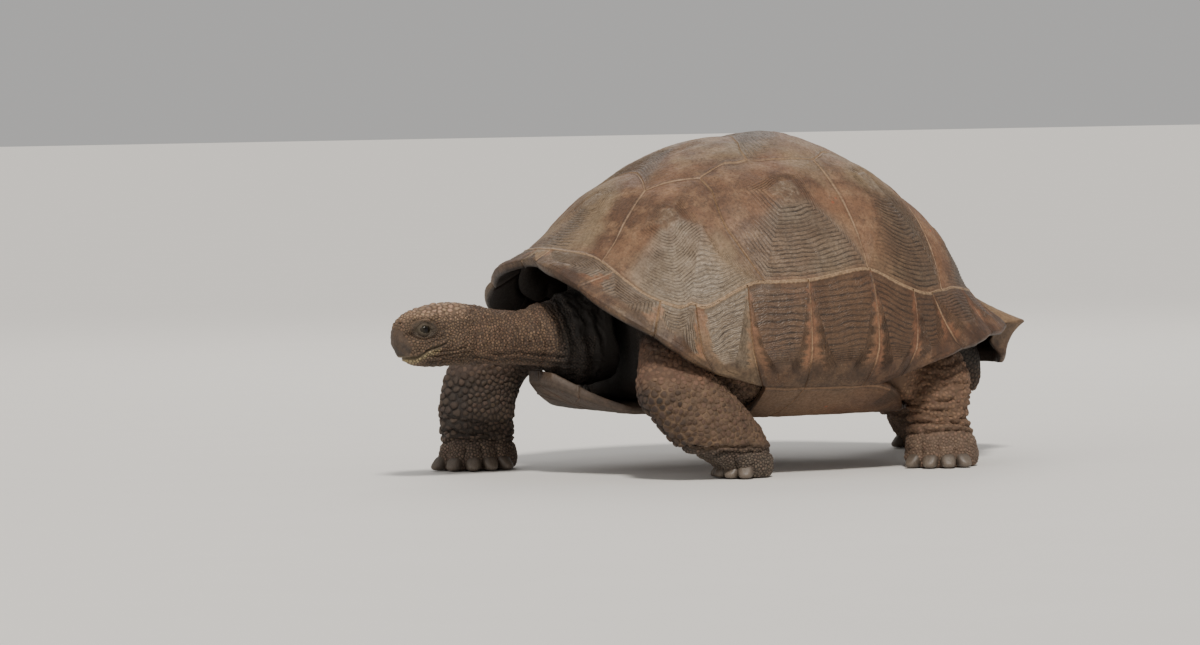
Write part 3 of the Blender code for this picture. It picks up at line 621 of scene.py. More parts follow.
# ---------------------------------------------------------------- the dome
@dataclass(frozen=True)
class Dome:
    """The smooth dome that all plates of the carapace lie on, the same as the solid's."""

    half_width: float = 0.392
    half_front: float = 0.490
    half_rear: float = 0.470
    setback: float = -0.025
    crown: float = 0.653
    girth: float = 0.245
    tuck: float = 0.140
    waist: float = 0.027
    apron_drop: float = 0.084
    apron_tuck: float = 0.040
    rim_height: Curve = Curve((
        (0, 0.418), (18, 0.398), (30, 0.361), (43, 0.302), (52, 0.248), (60, 0.197), (72, 0.172),
        (98, 0.168), (108, 0.190), (122, 0.234), (137, 0.257), (151, 0.263), (180, 0.268)))
    rim_flare: Curve = Curve((
        (0, 0.058), (20, 0.058), (40, 0.050), (60, 0.018), (75, 0.0), (105, 0.0), (120, 0.020),
        (137, 0.028), (151, 0.032), (162, 0.040), (167, 0.055), (171, 0.106), (180, 0.123)))
    rim_lobe: Curve = Curve((
        (0, 0.010), (48, 0.012), (62, 0.0), (108, 0.0), (125, 0.008), (150, 0.010), (164, 0.006), (180, 0.0)))
    line: Curve = Curve((
        (0, 0.950), (18, 0.920), (28, 0.900), (42, 0.908), (50, 0.880), (54, 0.810), (60, 0.672),
        (69, 0.580), (80, 0.568), (97, 0.541), (108, 0.638), (118, 0.748), (128, 0.808),
        (146, 0.850), (180, 0.858)))
    seam_at_line: tuple[float, ...] = (4.5, 33, 46, 53.5, 65, 80, 98, 110.4, 117.5, 137, 150, 164)
    seam_at_rim: tuple[float, ...] = (4.5, 27, 46.6, 57.7, 68.1, 79, 95.4, 106, 122.5, 137, 151, 166)

    def points(self, turn: Array, ring: Array) -> Array:
        """Places on the dome.

        Args:
            turn: Angle round the dome from the nose, in radians, negative on the right side.
            ring: 0 at the crown, 1 at the rim; past 1 the apron under the tail.

        Returns:
            One row per place.
        """
        side, turn = np.where(turn < 0, -1.0, 1.0), np.abs(turn)
        c, s = np.cos(turn), np.sin(turn)
        front = c > 0
        power = np.where(front, 2.6, 2.05)
        k = (np.abs(c) ** power + np.abs(s) ** power) ** (-1 / power)
        x, y = self.half_width * s * k, -np.where(front, self.half_front, self.half_rear) * c * k
        m = 1.85 + (np.where(front, 1.95, 1.62) - 1.85) * c * c
        rise = self.crown - self.girth
        degrees = np.degrees(turn)
        rim = self.rim_height(degrees)
        above = (rim - self.girth) / rise
        full = np.where(above > 0, np.arccos(np.clip(above, 0, 1) ** (m / 2)),
                        np.pi / 2 + np.arcsin(np.clip((self.girth - rim) / self.tuck, 0, 1)))
        inner = np.minimum(ring, 1)
        down = inner * full
        low = down > np.pi / 2
        cosine, sine = np.clip(np.cos(down), 0, 1), np.clip(np.sin(down), 0, 1)
        z = np.where(low, self.girth + self.tuck * np.cos(down), self.girth + rise * cosine ** (2 / m))
        out = np.where(low, sine**0.6, sine ** (2 / m))
        outer = np.clip((inner - 0.80) / 0.20, 0, 1)
        draw = np.clip((ring - 0.38) / 0.44, 0, 1)
        pinch = self.waist * np.clip(-c, 0, 1) ** 3 * draw**2 * (3 - 2 * draw) * (1 - outer**1.6)
        flare = self.rim_flare(degrees) * outer**1.6 + self.lobe(degrees) * outer**3
        fall = np.clip((ring - 1) / 0.25, 0, 1)
        z = z - self.apron_drop * fall
        flare = flare - self.apron_tuck * (1 - (1 - fall) ** 3)
        scale = out + (flare - pinch) / np.hypot(x, y)
        return np.stack([side * x * scale, y * scale + self.setback + SHELL_Y, z], axis=-1)

    def lobe(self, degrees: Array) -> Array:
        """How far the rim bulges between two marginal seams.

        Args:
            degrees: Places along the rim.

        Returns:
            The bulge at each.
        """
        seams = np.array(self.seam_at_rim)
        i = np.clip(np.searchsorted(seams, degrees), 1, len(seams) - 1)
        share = np.clip((degrees - seams[i - 1]) / (seams[i] - seams[i - 1]), 0, 1)
        return self.rim_lobe(degrees) * np.sin(np.pi * share)

    def at_disc(self, disc: Array) -> Array:
        """Places on the dome from places on the unit disc, nose at (-1, 0)."""
        return self.points(np.arctan2(disc[:, 1], -disc[:, 0]), np.hypot(disc[:, 0], disc[:, 1]))

    def normals(self, disc: Array, past_rim: bool = False) -> Array:
        """Outward normals of the dome.

        Args:
            disc: Places on the unit disc.
            past_rim: Whether places past the rim have normals of their own, not those just inside it.

        Returns:
            One row per place.
        """
        step = 2e-3
        if not past_rim:
            reach = np.maximum(np.hypot(disc[:, 0], disc[:, 1]), step)
            disc = disc * np.minimum(1, (1 - step) / reach)[:, None]
        across = self.at_disc(disc + (0, step)) - self.at_disc(disc - (0, step))
        along = self.at_disc(disc + (step, 0)) - self.at_disc(disc - (step, 0))
        normal = np.cross(across, along)
        return normal / np.linalg.norm(normal, axis=1, keepdims=True)


def on_disc(degrees: Array, ring: Array) -> Array:
    """Places on the unit disc."""
    turn = np.radians(degrees)
    return np.stack([-ring * np.cos(turn), ring * np.sin(turn)], axis=-1)


def rows_on_disc(places: Array) -> Array:
    """Places on the unit disc, from rows of degrees and ring."""
    return on_disc(places[:, 0], places[:, 1])


# ---------------------------------------------------------------- horny plates
class Seam(Enum):
    """What runs along a side of a plate."""

    THIN = 0
    CORD = 1
    FREE = 2


@dataclass
class Side:
    """One side of a plate in its own chart, from its first place up to the next side's."""

    points: Array
    seam: Seam = Seam.THIN


Chart = Callable[[Array, Array], Array]


@dataclass
class Plate:
    """One horny plate: growth rings round its middle, walls along its seams and a plain underside."""

    name: str
    sides: list[Side]
    middle: Pair
    surface: Chart
    thickness: Callable[[Array], Array]
    crown: float = 0.008
    ring_step: float = 0.011
    core: float = 0.16
    down: Place = (0.0, 0.0, -1.0)
    wear_and_light: float = 0.5
    fan: Pair = (0.52, 0.90)
    zones: Callable[[Array], tuple[Array, Array]] | None = None
    blush: float = 0.0
    heart: float = 1.0
    relief: float = 0.0019
    step: float = 0.0042
    rings: int = 60
    seed: int = 1
    under_shade: float = 2.0
    edge_rows: tuple[float, ...] = (
        0.0125, 0.0100, 0.0080, 0.0063, 0.0049, 0.0037, 0.0027, 0.0018, 0.0010, 0.0004, 0.0001)
    hub_rise: float = 0.0011
    cord_rise: float = 0.0019
    cord_half: float = 0.0033
    bead_rise: float = 0.0008
    seam_depth: float = 0.0009
    unevenness: float = 0.0006
    rounding: float = 0.009
    wall_draft: float = 0.0003

    def outline(self) -> tuple[Array, Array, Array]:
        """The outline at even steps, and how far each place is a corded seam and a free rim."""
        parts, cords, frees = [], [], []
        for side, after in zip(self.sides, [*self.sides[1:], self.sides[0]]):
            run = np.concatenate([side.points, after.points[:1]])
            for a, b in zip(run, run[1:]):
                pair = self.surface(np.array([a, b]), np.zeros(2))
                count = max(1, int(np.linalg.norm(pair[1] - pair[0]) / self.step + 0.5))
                share = np.arange(count)[:, None] / count
                parts.append(a + (b - a) * share)
                cords.append(np.full(count, float(side.seam is Seam.CORD)))
                frees.append(np.full(count, float(side.seam is Seam.FREE)))
        return np.concatenate(parts), np.concatenate(cords), np.concatenate(frees)

    def build(self, finish: Material) -> Object:
        """Makes the plate.

        Args:
            finish: Its material.

        Returns:
            The object, with the growth and seam values that the horn reads.
        """
        points, cord, free = self.outline()
        middle = np.array(self.middle)
        count = len(points)
        foot = self.surface(points, np.zeros(count))
        heart = self.surface(middle[None], np.zeros(1))[0]
        # how far each place of the outline is from the middle, and rows of vertices on the way to it
        reach = np.linalg.norm(foot - heart, axis=1)
        smooth = np.ones(9) / 9
        reach = np.convolve(np.concatenate([reach[-4:], reach, reach[:4]]), smooth, "valid")
        way = (foot - heart) / np.linalg.norm(foot - heart, axis=1, keepdims=True)
        inner = 1 - self.edge_rows[0] / reach
        rows = [share * inner for share in np.linspace(0, 1, self.rings + 1)[1:]]
        rows += [1 - edge / reach for edge in self.edge_rows[1:]]
        t = np.array(rows)
        at = middle + (points - middle) * t[..., None]
        flat = self.surface(at.reshape(-1, 2), np.zeros(t.size)).reshape(*t.shape, 3)
        edge = (1 - t) * reach
        wander = ripple(flat.reshape(-1, 3), 0.09, self.seed).reshape(t.shape)
        # growth rings: their count, and where on the plate they show
        number = max(3.0, float(reach.max()) / self.ring_step)
        phase = np.clip(t - self.core, 0, 1) / (1 - self.core) * number + 0.30 * wander
        toward = way @ np.array(self.down)
        fringe = 0.10 * ripple(foot, 0.12, self.seed + 11)
        sector = 0.14 + 0.86 * ease(toward + fringe, *self.fan)
        sector = np.maximum(sector, 0.85 * self.heart * ease(t, self.core + 0.34, self.core + 0.14))
        if self.zones:
            sector = 0.06 + 0.94 * self.zones(at)[0]
        uneven = 0.76 + 0.24 * ripple(flat.reshape(-1, 3), 0.035, self.seed + 7).reshape(t.shape)
        strength = sector * uneven * ease(t, self.core * 0.9, self.core * 1.6) * ease(edge, 0.004, 0.012)
        # the relief: rings, hub, cord, thin seams and the rounding of a free rim
        groove = (0.5 + 0.5 * np.cos(2 * np.pi * phase)) ** 2
        lift = self.crown * (1 - t**2) - self.relief * strength * groove
        lift += self.hub_rise * ease(t, self.core * 1.25, self.core * 0.9)
        lift += self.unevenness * ripple(flat.reshape(-1, 3), 0.05, self.seed + 3).reshape(t.shape)
        lift += cord * self.cord_rise * bell(edge, self.cord_half)
        thin = (1 - cord) * (1 - free)
        bead, dip = bell(edge - 0.0030, 0.0017), bell(edge, 0.0012)
        lift += thin * (self.bead_rise * bead - self.seam_depth * dip)
        depth = self.thickness(points)
        round_off = np.minimum(self.rounding, depth * 0.5)
        inside = np.clip(1 - edge / round_off, 0, 1)
        lift -= free * round_off * 0.8 * (1 - np.sqrt(1 - inside**2))
        top = self.surface(at.reshape(-1, 2), lift.reshape(-1))
        hub = self.surface(middle[None], np.array([self.crown + self.hub_rise]))
        # the walls and the underside
        inset = points - middle
        drawn_in = middle + inset * (1 - self.wall_draft / reach)[:, None]
        inner = [self.surface(drawn_in, -depth * (1 - 0.15 * free))]
        for share in (0.75, 0.5, 0.25):
            spot = middle + inset * share
            inner.append(self.surface(spot, -self.thickness(spot)))
        base = self.surface(middle[None], -self.thickness(middle[None]))
        face_levels, levels = len(t), len(t) + 3
        vertices = np.concatenate([hub, top, *inner, base])
        ring = np.arange(count)
        after = (ring + 1) % count
        grid = [np.stack([1 + r * count + ring, 1 + (r + 1) * count + ring,
                          1 + (r + 1) * count + after, 1 + r * count + after], axis=1) for r in range(levels)]
        fan = np.stack([np.zeros(count, int), 1 + ring, 1 + after], axis=1)
        last = 1 + levels * count
        under = np.stack([np.full(count, last + count), last + after, last + ring], axis=1)
        made = mesh_object(self.name, vertices, [np.concatenate(grid), np.concatenate([fan, under])], finish)
        if self.turned_in(made):
            made.data.flip_normals()
        low, high = self.fan
        wedge = ease(toward, low - 0.02, high + 0.4 * (1 - high)) * ease(t, self.core * 0.8, self.core * 1.5)
        # the hem near a free rim is painted shade
        wedge, near = wedge * ease(t, 1.03, 0.90), free * ease(edge, 0.072, 0.022)
        if self.zones:
            wedge, near = self.zones(at)
        self.store(made, phase, strength, t, edge, cord, wedge, near, face_levels, count)
        return made

    def turned_in(self, made: Object) -> bool:
        """Tells whether a mesh's faces point inwards.

        Args:
            made: The plate.

        Returns:
            Whether its volume is negative.
        """
        bm = bmesh.new()
        bm.from_mesh(made.data)
        volume = bm.calc_volume(signed=True)
        bm.free()
        return volume < 0

    def store(self, made: Object, phase: Array, strength: Array, t: Array, edge: Array, cord: Array,
              wedge: Array, near: Array, levels: int, count: int) -> None:
        """Stores the growth and the seam on each vertex.

        Args:
            made: The plate.
            phase: Growth rings passed so far.
            strength: How deep the rings are.
            t: Share of the way from the middle to the seam.
            edge: Distance to the seam in metres.
            cord: How far each place of the outline is a corded seam.
            wedge: How far each place is in the part of the plate that shows its rings.
            near: How near it is to a free rim, where the horn is darkened as painted shade.
            levels: Rows of vertices on the face.
            count: Vertices in a row.
        """
        growth = np.stack([phase, strength, wedge], axis=-1).reshape(-1, 3)
        seam = np.stack([edge * 1000, cord * np.ones_like(t), near], axis=-1).reshape(-1, 3)
        heart = self.heart * ease(t, self.core * 1.4, self.core * 0.8)
        flush = self.blush * (1 - wedge) * (1 - near) * ease(t, 0.25, 0.45)
        age = np.stack([np.full_like(t, self.wear_and_light), heart, flush], axis=-1).reshape(-1, 3)
        last = levels * count
        total = len(made.data.vertices)
        for name, values, hub, under in (("growth", growth, (0, 0, 0), (0, 0, 0)),
                                         ("seam", seam, (60, 0, 0), (30, 0, self.under_shade)),
                                         ("age", age, (self.wear_and_light, self.heart, 0), (0, 0, 0))):
            full = np.tile(np.array(under, float), (total, 1))
            full[0], full[1:1 + last] = hub, values
            vector_attribute(made, name, full)


@dataclass
class Carapace:
    """The plates of the upper shell."""

    dome: Dome
    ends: tuple[Pair, ...] = ((-0.525, 0.255), (-0.108, 0.213), (0.337, 0.179), (0.600, 0.170))
    tops: tuple[Pair, ...] = ((-0.302, 0.309), (0.043, 0.222), (0.400, 0.280))
    feet: tuple[float, ...] = (27.9, 69, 97.2, 122.2, 158)
    crown_middles: tuple[float, ...] = (-0.720, -0.310, 0.115, 0.470, 0.700)
    side_middles: tuple[Pair, ...] = (
        (-0.471, 0.424), (-0.069, 0.330), (0.190, 0.345), (0.550, 0.370))
    # wear of each side plate, which also paints sheen on those facing the light and shade on those turned
    # away
    side_wear_and_light: tuple[float, ...] = (0.92, 0.42, 0.02, 0.05)
    side_fan: tuple[Pair, ...] = ((0.66, 0.93), (0.56, 0.90), (0.55, 0.92), (0.52, 0.90))
    side_swing: tuple[float, ...] = (0.50, 0.12, 0.10, 0.0)
    side_step: tuple[float, ...] = (0.0088, 0.0116, 0.0110, 0.0110)
    # wear of each marginal plate, which also paints sheen and shade by how the plate faces the light
    rim_wear_and_light: tuple[float, ...] = (0.45, 0.35, 0.50, 0.66, 0.12, 0.00, 0.02, 0.00, 0.10, 0.10, 0.10)
    rim_middle: float = 0.80
    pieces: list[Object] = field(default_factory=list)

    def run(self, first: float, last: float) -> Array:
        """Places along the line above the marginal plates, in degrees and ring."""
        count = max(1, math.ceil(abs(last - first) / 1.5))
        degrees = np.linspace(first, last, count + 1)
        return np.stack([degrees, self.dome.line(np.abs(degrees))], axis=1)

    def disc_chart(self, past_rim: bool = False) -> Chart:
        """A chart on the unit disc.

        Args:
            past_rim: Whether it goes on past the rim.

        Returns:
            The chart.
        """
        def surface(at: Array, lift: Array) -> Array:
            """Places on the dome, lifted off it."""
            return self.dome.at_disc(at) + self.dome.normals(at, past_rim) * lift[:, None]
        return surface

    def polar_chart(self) -> Chart:
        """A chart of degrees and ring."""
        def surface(at: Array, lift: Array) -> Array:
            """Places on the dome, lifted off it."""
            disc = rows_on_disc(at)
            return self.dome.at_disc(disc) + self.dome.normals(disc) * lift[:, None]
        return surface

    def thick(self, degrees: Array, ring: Array) -> Array:
        """Thickness of the plates, which grows towards the flared rim."""
        flare = np.clip(self.dome.rim_flare(np.abs(degrees)) / 0.06, 0, 1)
        return 0.010 + 0.007 * flare * np.clip((ring - 0.85) / 0.12, 0, 1)

    def disc_thick(self, at: Array) -> Array:
        """Thickness in the disc chart."""
        return self.thick(np.degrees(np.arctan2(at[:, 1], -at[:, 0])), np.hypot(at[:, 0], at[:, 1]))

    def fold_thick(self, at: Array) -> Array:
        """Thickness of the plate over the tail, which is thin at its fold."""
        fold = np.clip(1 - np.abs(np.hypot(at[:, 0], at[:, 1]) - 1.0) / 0.14, 0, 1)
        return self.disc_thick(at) * (1 - 0.72 * ease(fold, 0.0, 0.5))

    def polar_thick(self, at: Array) -> Array:
        """Thickness in the polar chart."""
        return self.thick(at[:, 0], at[:, 1])

    def away(self, middle: Pair, swing: float = 0.0) -> Place:
        """The way down the dome, outwards from the crown.

        Args:
            middle: The place on the disc that it starts from.
            swing: How far it is swung to the rear.

        Returns:
            A unit vector.
        """
        pair = self.dome.at_disc(np.array([middle, np.array(middle) * 1.08]))
        way = pair[1] - pair[0]
        way = way / np.linalg.norm(way) + (0.0, swing, 0.0)
        return tuple(way / np.linalg.norm(way))

    def add(self, plate: Plate, finish: Material) -> None:
        """Builds a plate over the solid of the same name.

        Args:
            plate: The plate, named as the solid.
            finish: Its material.
        """
        node = plate.name
        plate.name = node + "_horn"
        made = plate.build(finish)
        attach(made, "root")
        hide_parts(node)
        self.pieces.append(made)

    def vertebral_sides(self, index: int) -> list[Side]:
        """The sides of a crown plate, on both halves of the disc.

        Args:
            index: Which plate, counted from the neck.

        Returns:
            Its sides.
        """
        ends, tops = self.ends, self.tops
        if index == 0:
            line = self.run(-self.feet[0], self.feet[0])
            return [Side(rows_on_disc(line[:-1]), Seam.CORD), Side(rows_on_disc(line[-1:])),
                    Side(np.array([ends[0]])),
                    Side(np.array([(ends[0][0], -ends[0][1])]))]
        if index == 4:
            line = self.run(self.feet[-1], 180)
            back = self.run(-180, -self.feet[-1])
            return [Side(np.array([ends[3]])), Side(rows_on_disc(line[:-1]), Seam.CORD),
                    Side(rows_on_disc(back[:-1]), Seam.CORD),
                    Side(rows_on_disc(back[-1:])), Side(np.array([(ends[3][0], -ends[3][1])]))]
        corners = [ends[index - 1], tops[index - 1], ends[index]]
        mirrored = [(a, -b) for a, b in reversed(corners)]
        return [Side(np.array([corner])) for corner in corners + mirrored]

    def costal_sides(self, index: int) -> list[Side]:
        """The sides of a left side plate.

        Args:
            index: Which plate, counted from the neck.

        Returns:
            Its sides.
        """
        ends, tops = self.ends, self.tops
        upper = ((ends[0], tops[0]), (tops[0], ends[1], tops[1]),
                 (tops[1], ends[2], tops[2]), (tops[2], ends[3]))
        line = self.run(self.feet[index], self.feet[index + 1])
        sides = [Side(rows_on_disc(line[:-1]), Seam.CORD), Side(rows_on_disc(line[-1:]))]
        return sides + [Side(np.array([corner])) for corner in reversed(upper[index])]

    def mirrored(self, sides: list[Side], signs: tuple[int, int]) -> list[Side]:
        """The same sides on the right, in the opposite order.

        Args:
            sides: The sides of the left plate.
            signs: Factors on the two coordinates of their chart.

        Returns:
            The sides of the right plate.
        """
        runs = [np.concatenate([side.points, after.points[:1]])
                for side, after in zip(sides, [*sides[1:], sides[0]])]
        return [Side((run[::-1] * signs)[:-1], side.seam) for run, side in zip(runs[::-1], sides[::-1])]

    def build_crown(self, finish: Material) -> None:
        """The five plates along the back.

        Args:
            finish: Their material.
        """
        for i in range(5):
            plate = Plate(f"vertebral_{i + 1}", self.vertebral_sides(i), (self.crown_middles[i], 0.0),
                          self.disc_chart(), self.disc_thick, crown=0.009, seed=10 + i, wear_and_light=0.06,
                          down=(0.0, -1.0, 0.0), rings=50, ring_step=0.012)
            self.add(plate, finish)

    def build_sides(self, finish: Material) -> None:
        """The four plates down each side.

        Args:
            finish: Their material.
        """
        for i in range(4):
            a, b = self.side_middles[i]
            for label, sign in (("left", 1), ("right", -1)):
                sides = self.costal_sides(i)
                if sign < 0:
                    sides = self.mirrored(sides, (1, -1))
                middle = (a, sign * b)
                plate = Plate(f"costal_{label}_{i + 1}", sides, middle, self.disc_chart(), self.disc_thick,
                              seed=30 + 2 * i + (sign < 0), wear_and_light=self.side_wear_and_light[i], fan=self.side_fan[i],
                              down=self.away(middle, self.side_swing[i]), rings=84,
                              ring_step=self.side_step[i], blush=0.05)
                self.add(plate, finish)

    def rim_zones(self, index: int) -> Callable[[Array], tuple[Array, Array]]:
        """Where a marginal plate shows its rings, between strips that widen downwards, and where its hem of
        painted shade is.

        Args:
            index: Which plate, counted from the neck.

        Returns:
            Gives both shares for places in the polar chart.
        """
        dome = self.dome
        line, rim = dome.seam_at_line[index:index + 2], dome.seam_at_rim[index:index + 2]
        top = float(dome.line(sum(line) / 2))

        def zones(at: Array) -> tuple[Array, Array]:
            """Gives the shares of the rings and of the hem.

            Args:
                at: Places in the polar chart.

            Returns:
                Both shares at each place.
            """
            up = np.clip((1 - at[..., 1]) / (1 - top), 0, 1)
            middle = (sum(rim) + (sum(line) - sum(rim)) * up) / 2
            half = (rim[1] - rim[0] + (line[1] - line[0] - rim[1] + rim[0]) * up) / 2
            aside = np.abs(np.abs(at[..., 0]) - middle) / half
            ragged = 0.07 * np.sin(at[..., 1] * 160 + index) + 0.05 * np.sin(at[..., 1] * 410)
            limit = 0.40 + 0.62 * up + ragged
            band = ease(aside, limit + 0.10, limit - 0.10) * ease(up, 0.22, 0.42)
            return band, ease(up + 0.06 * np.sin(at[..., 0] * 1.3), 0.56, 0.20)
        return zones

    def build_rim(self, finish: Material, rear_finish: Material) -> None:
        """The marginal plates, the small plate over the neck and the plate over the tail.

        Args:
            finish: Material of the front plates and of the end plates.
            rear_finish: Darker material of the marginal plates from the fifth on.
        """
        dome = self.dome
        for i in range(11):
            top = self.run(dome.seam_at_line[i], dome.seam_at_line[i + 1])
            low, high = dome.seam_at_rim[i], dome.seam_at_rim[i + 1]
            rim = np.linspace(high, low, max(2, math.ceil((high - low) / 1.5)))
            hem = Seam.THIN if i in (4, 5, 6) else Seam.FREE
            sides = [Side(top[:-1], Seam.CORD), Side(top[-1:]),
                     Side(np.stack([rim[:-1], np.ones(len(rim) - 1)], axis=1), hem),
                     Side(np.array([(low, 1.0)]))]
            first, last = dome.seam_at_line[i], dome.seam_at_line[i + 1]
            angle = (first + last + low + high) / 4
            centre = float(dome.line((first + last) / 2))
            for label, sign in (("left", 1), ("right", -1)):
                chosen = sides if sign > 0 else self.mirrored(sides, (-1, 1))
                middle = (sign * angle, centre + (1 - centre) * self.rim_middle)
                disc = on_disc(np.array(middle[0]), np.array(middle[1]))
                plate = Plate(f"marginal_{label}_{i + 1}", chosen, middle, self.polar_chart(),
                              self.polar_thick, crown=0.003, seed=50 + 2 * i + (sign < 0),
                              wear_and_light=self.rim_wear_and_light[i],
                              down=tuple(-v for v in self.away((float(disc[0]), float(disc[1])))), rings=48,
                              step=0.0036, core=0.20, ring_step=0.0104, relief=0.0018, heart=0.0,
                              zones=self.rim_zones(i), blush=0.55)
                self.add(plate, finish if i < 4 else rear_finish)
        half = dome.seam_at_rim[0]
        over = self.run(-half, half)
        rim = np.linspace(half, -half, 8)
        sides = [Side(over[:-1], Seam.CORD), Side(over[-1:]),
                 Side(np.stack([rim[:-1], np.ones(7)], axis=1), Seam.FREE), Side(np.array([(-half, 1.0)]))]
        nuchal = Plate("nuchal", sides, (0.0, 0.975), self.polar_chart(), self.polar_thick, crown=0.003,
                       down=(0.0, -1.0, 0.0), rings=24, step=0.003, seed=90, relief=0.0006, heart=0.0)
        self.add(nuchal, finish)
        self.build_tail_plate(finish)

    def build_tail_plate(self, finish: Material) -> None:
        """The plate over the tail, whose apron hangs below the lip.

        Args:
            finish: Its material.
        """
        top = self.run(self.dome.seam_at_line[-1], 180)
        back = self.run(-180, -self.dome.seam_at_line[-1])
        over = np.concatenate([rows_on_disc(top[:-1]), rows_on_disc(back[:-1])])
        apron = [(14.0, 1.0), (12.5, 1.10), (10.0, 1.20), (5.0, 1.25), (0.0, 1.25),
                 (-5.0, 1.25), (-10.0, 1.20), (-12.5, 1.10), (-14.0, 1.0)]
        hem = np.array([on_disc(np.array(180 - a), np.array(r)) for a, r in reversed(apron)])
        last = rows_on_disc(back[-1:])
        sides = [Side(over, Seam.CORD), Side(last), Side(hem[:-1], Seam.FREE), Side(hem[-1:])]
        plate = Plate("supracaudal", sides, tuple(on_disc(np.array(180.0), np.array(0.985))),
                      self.disc_chart(True), self.fold_thick, crown=0.003, down=(0.0, 0.3, -0.95), rings=48,
                      seed=95, wear_and_light=0.1, step=0.0044, heart=0.4)
        self.add(plate, finish)

    def build(self, finish: Material, rear_finish: Material) -> None:
        """All plates.

        Args:
            finish: Material of the shell.
            rear_finish: Darker material of the rear rim plates.
        """
        self.build_crown(finish)
        self.build_sides(finish)
        self.build_rim(finish, rear_finish)
        LOG.info("carapace: %d plates", len(self.pieces))


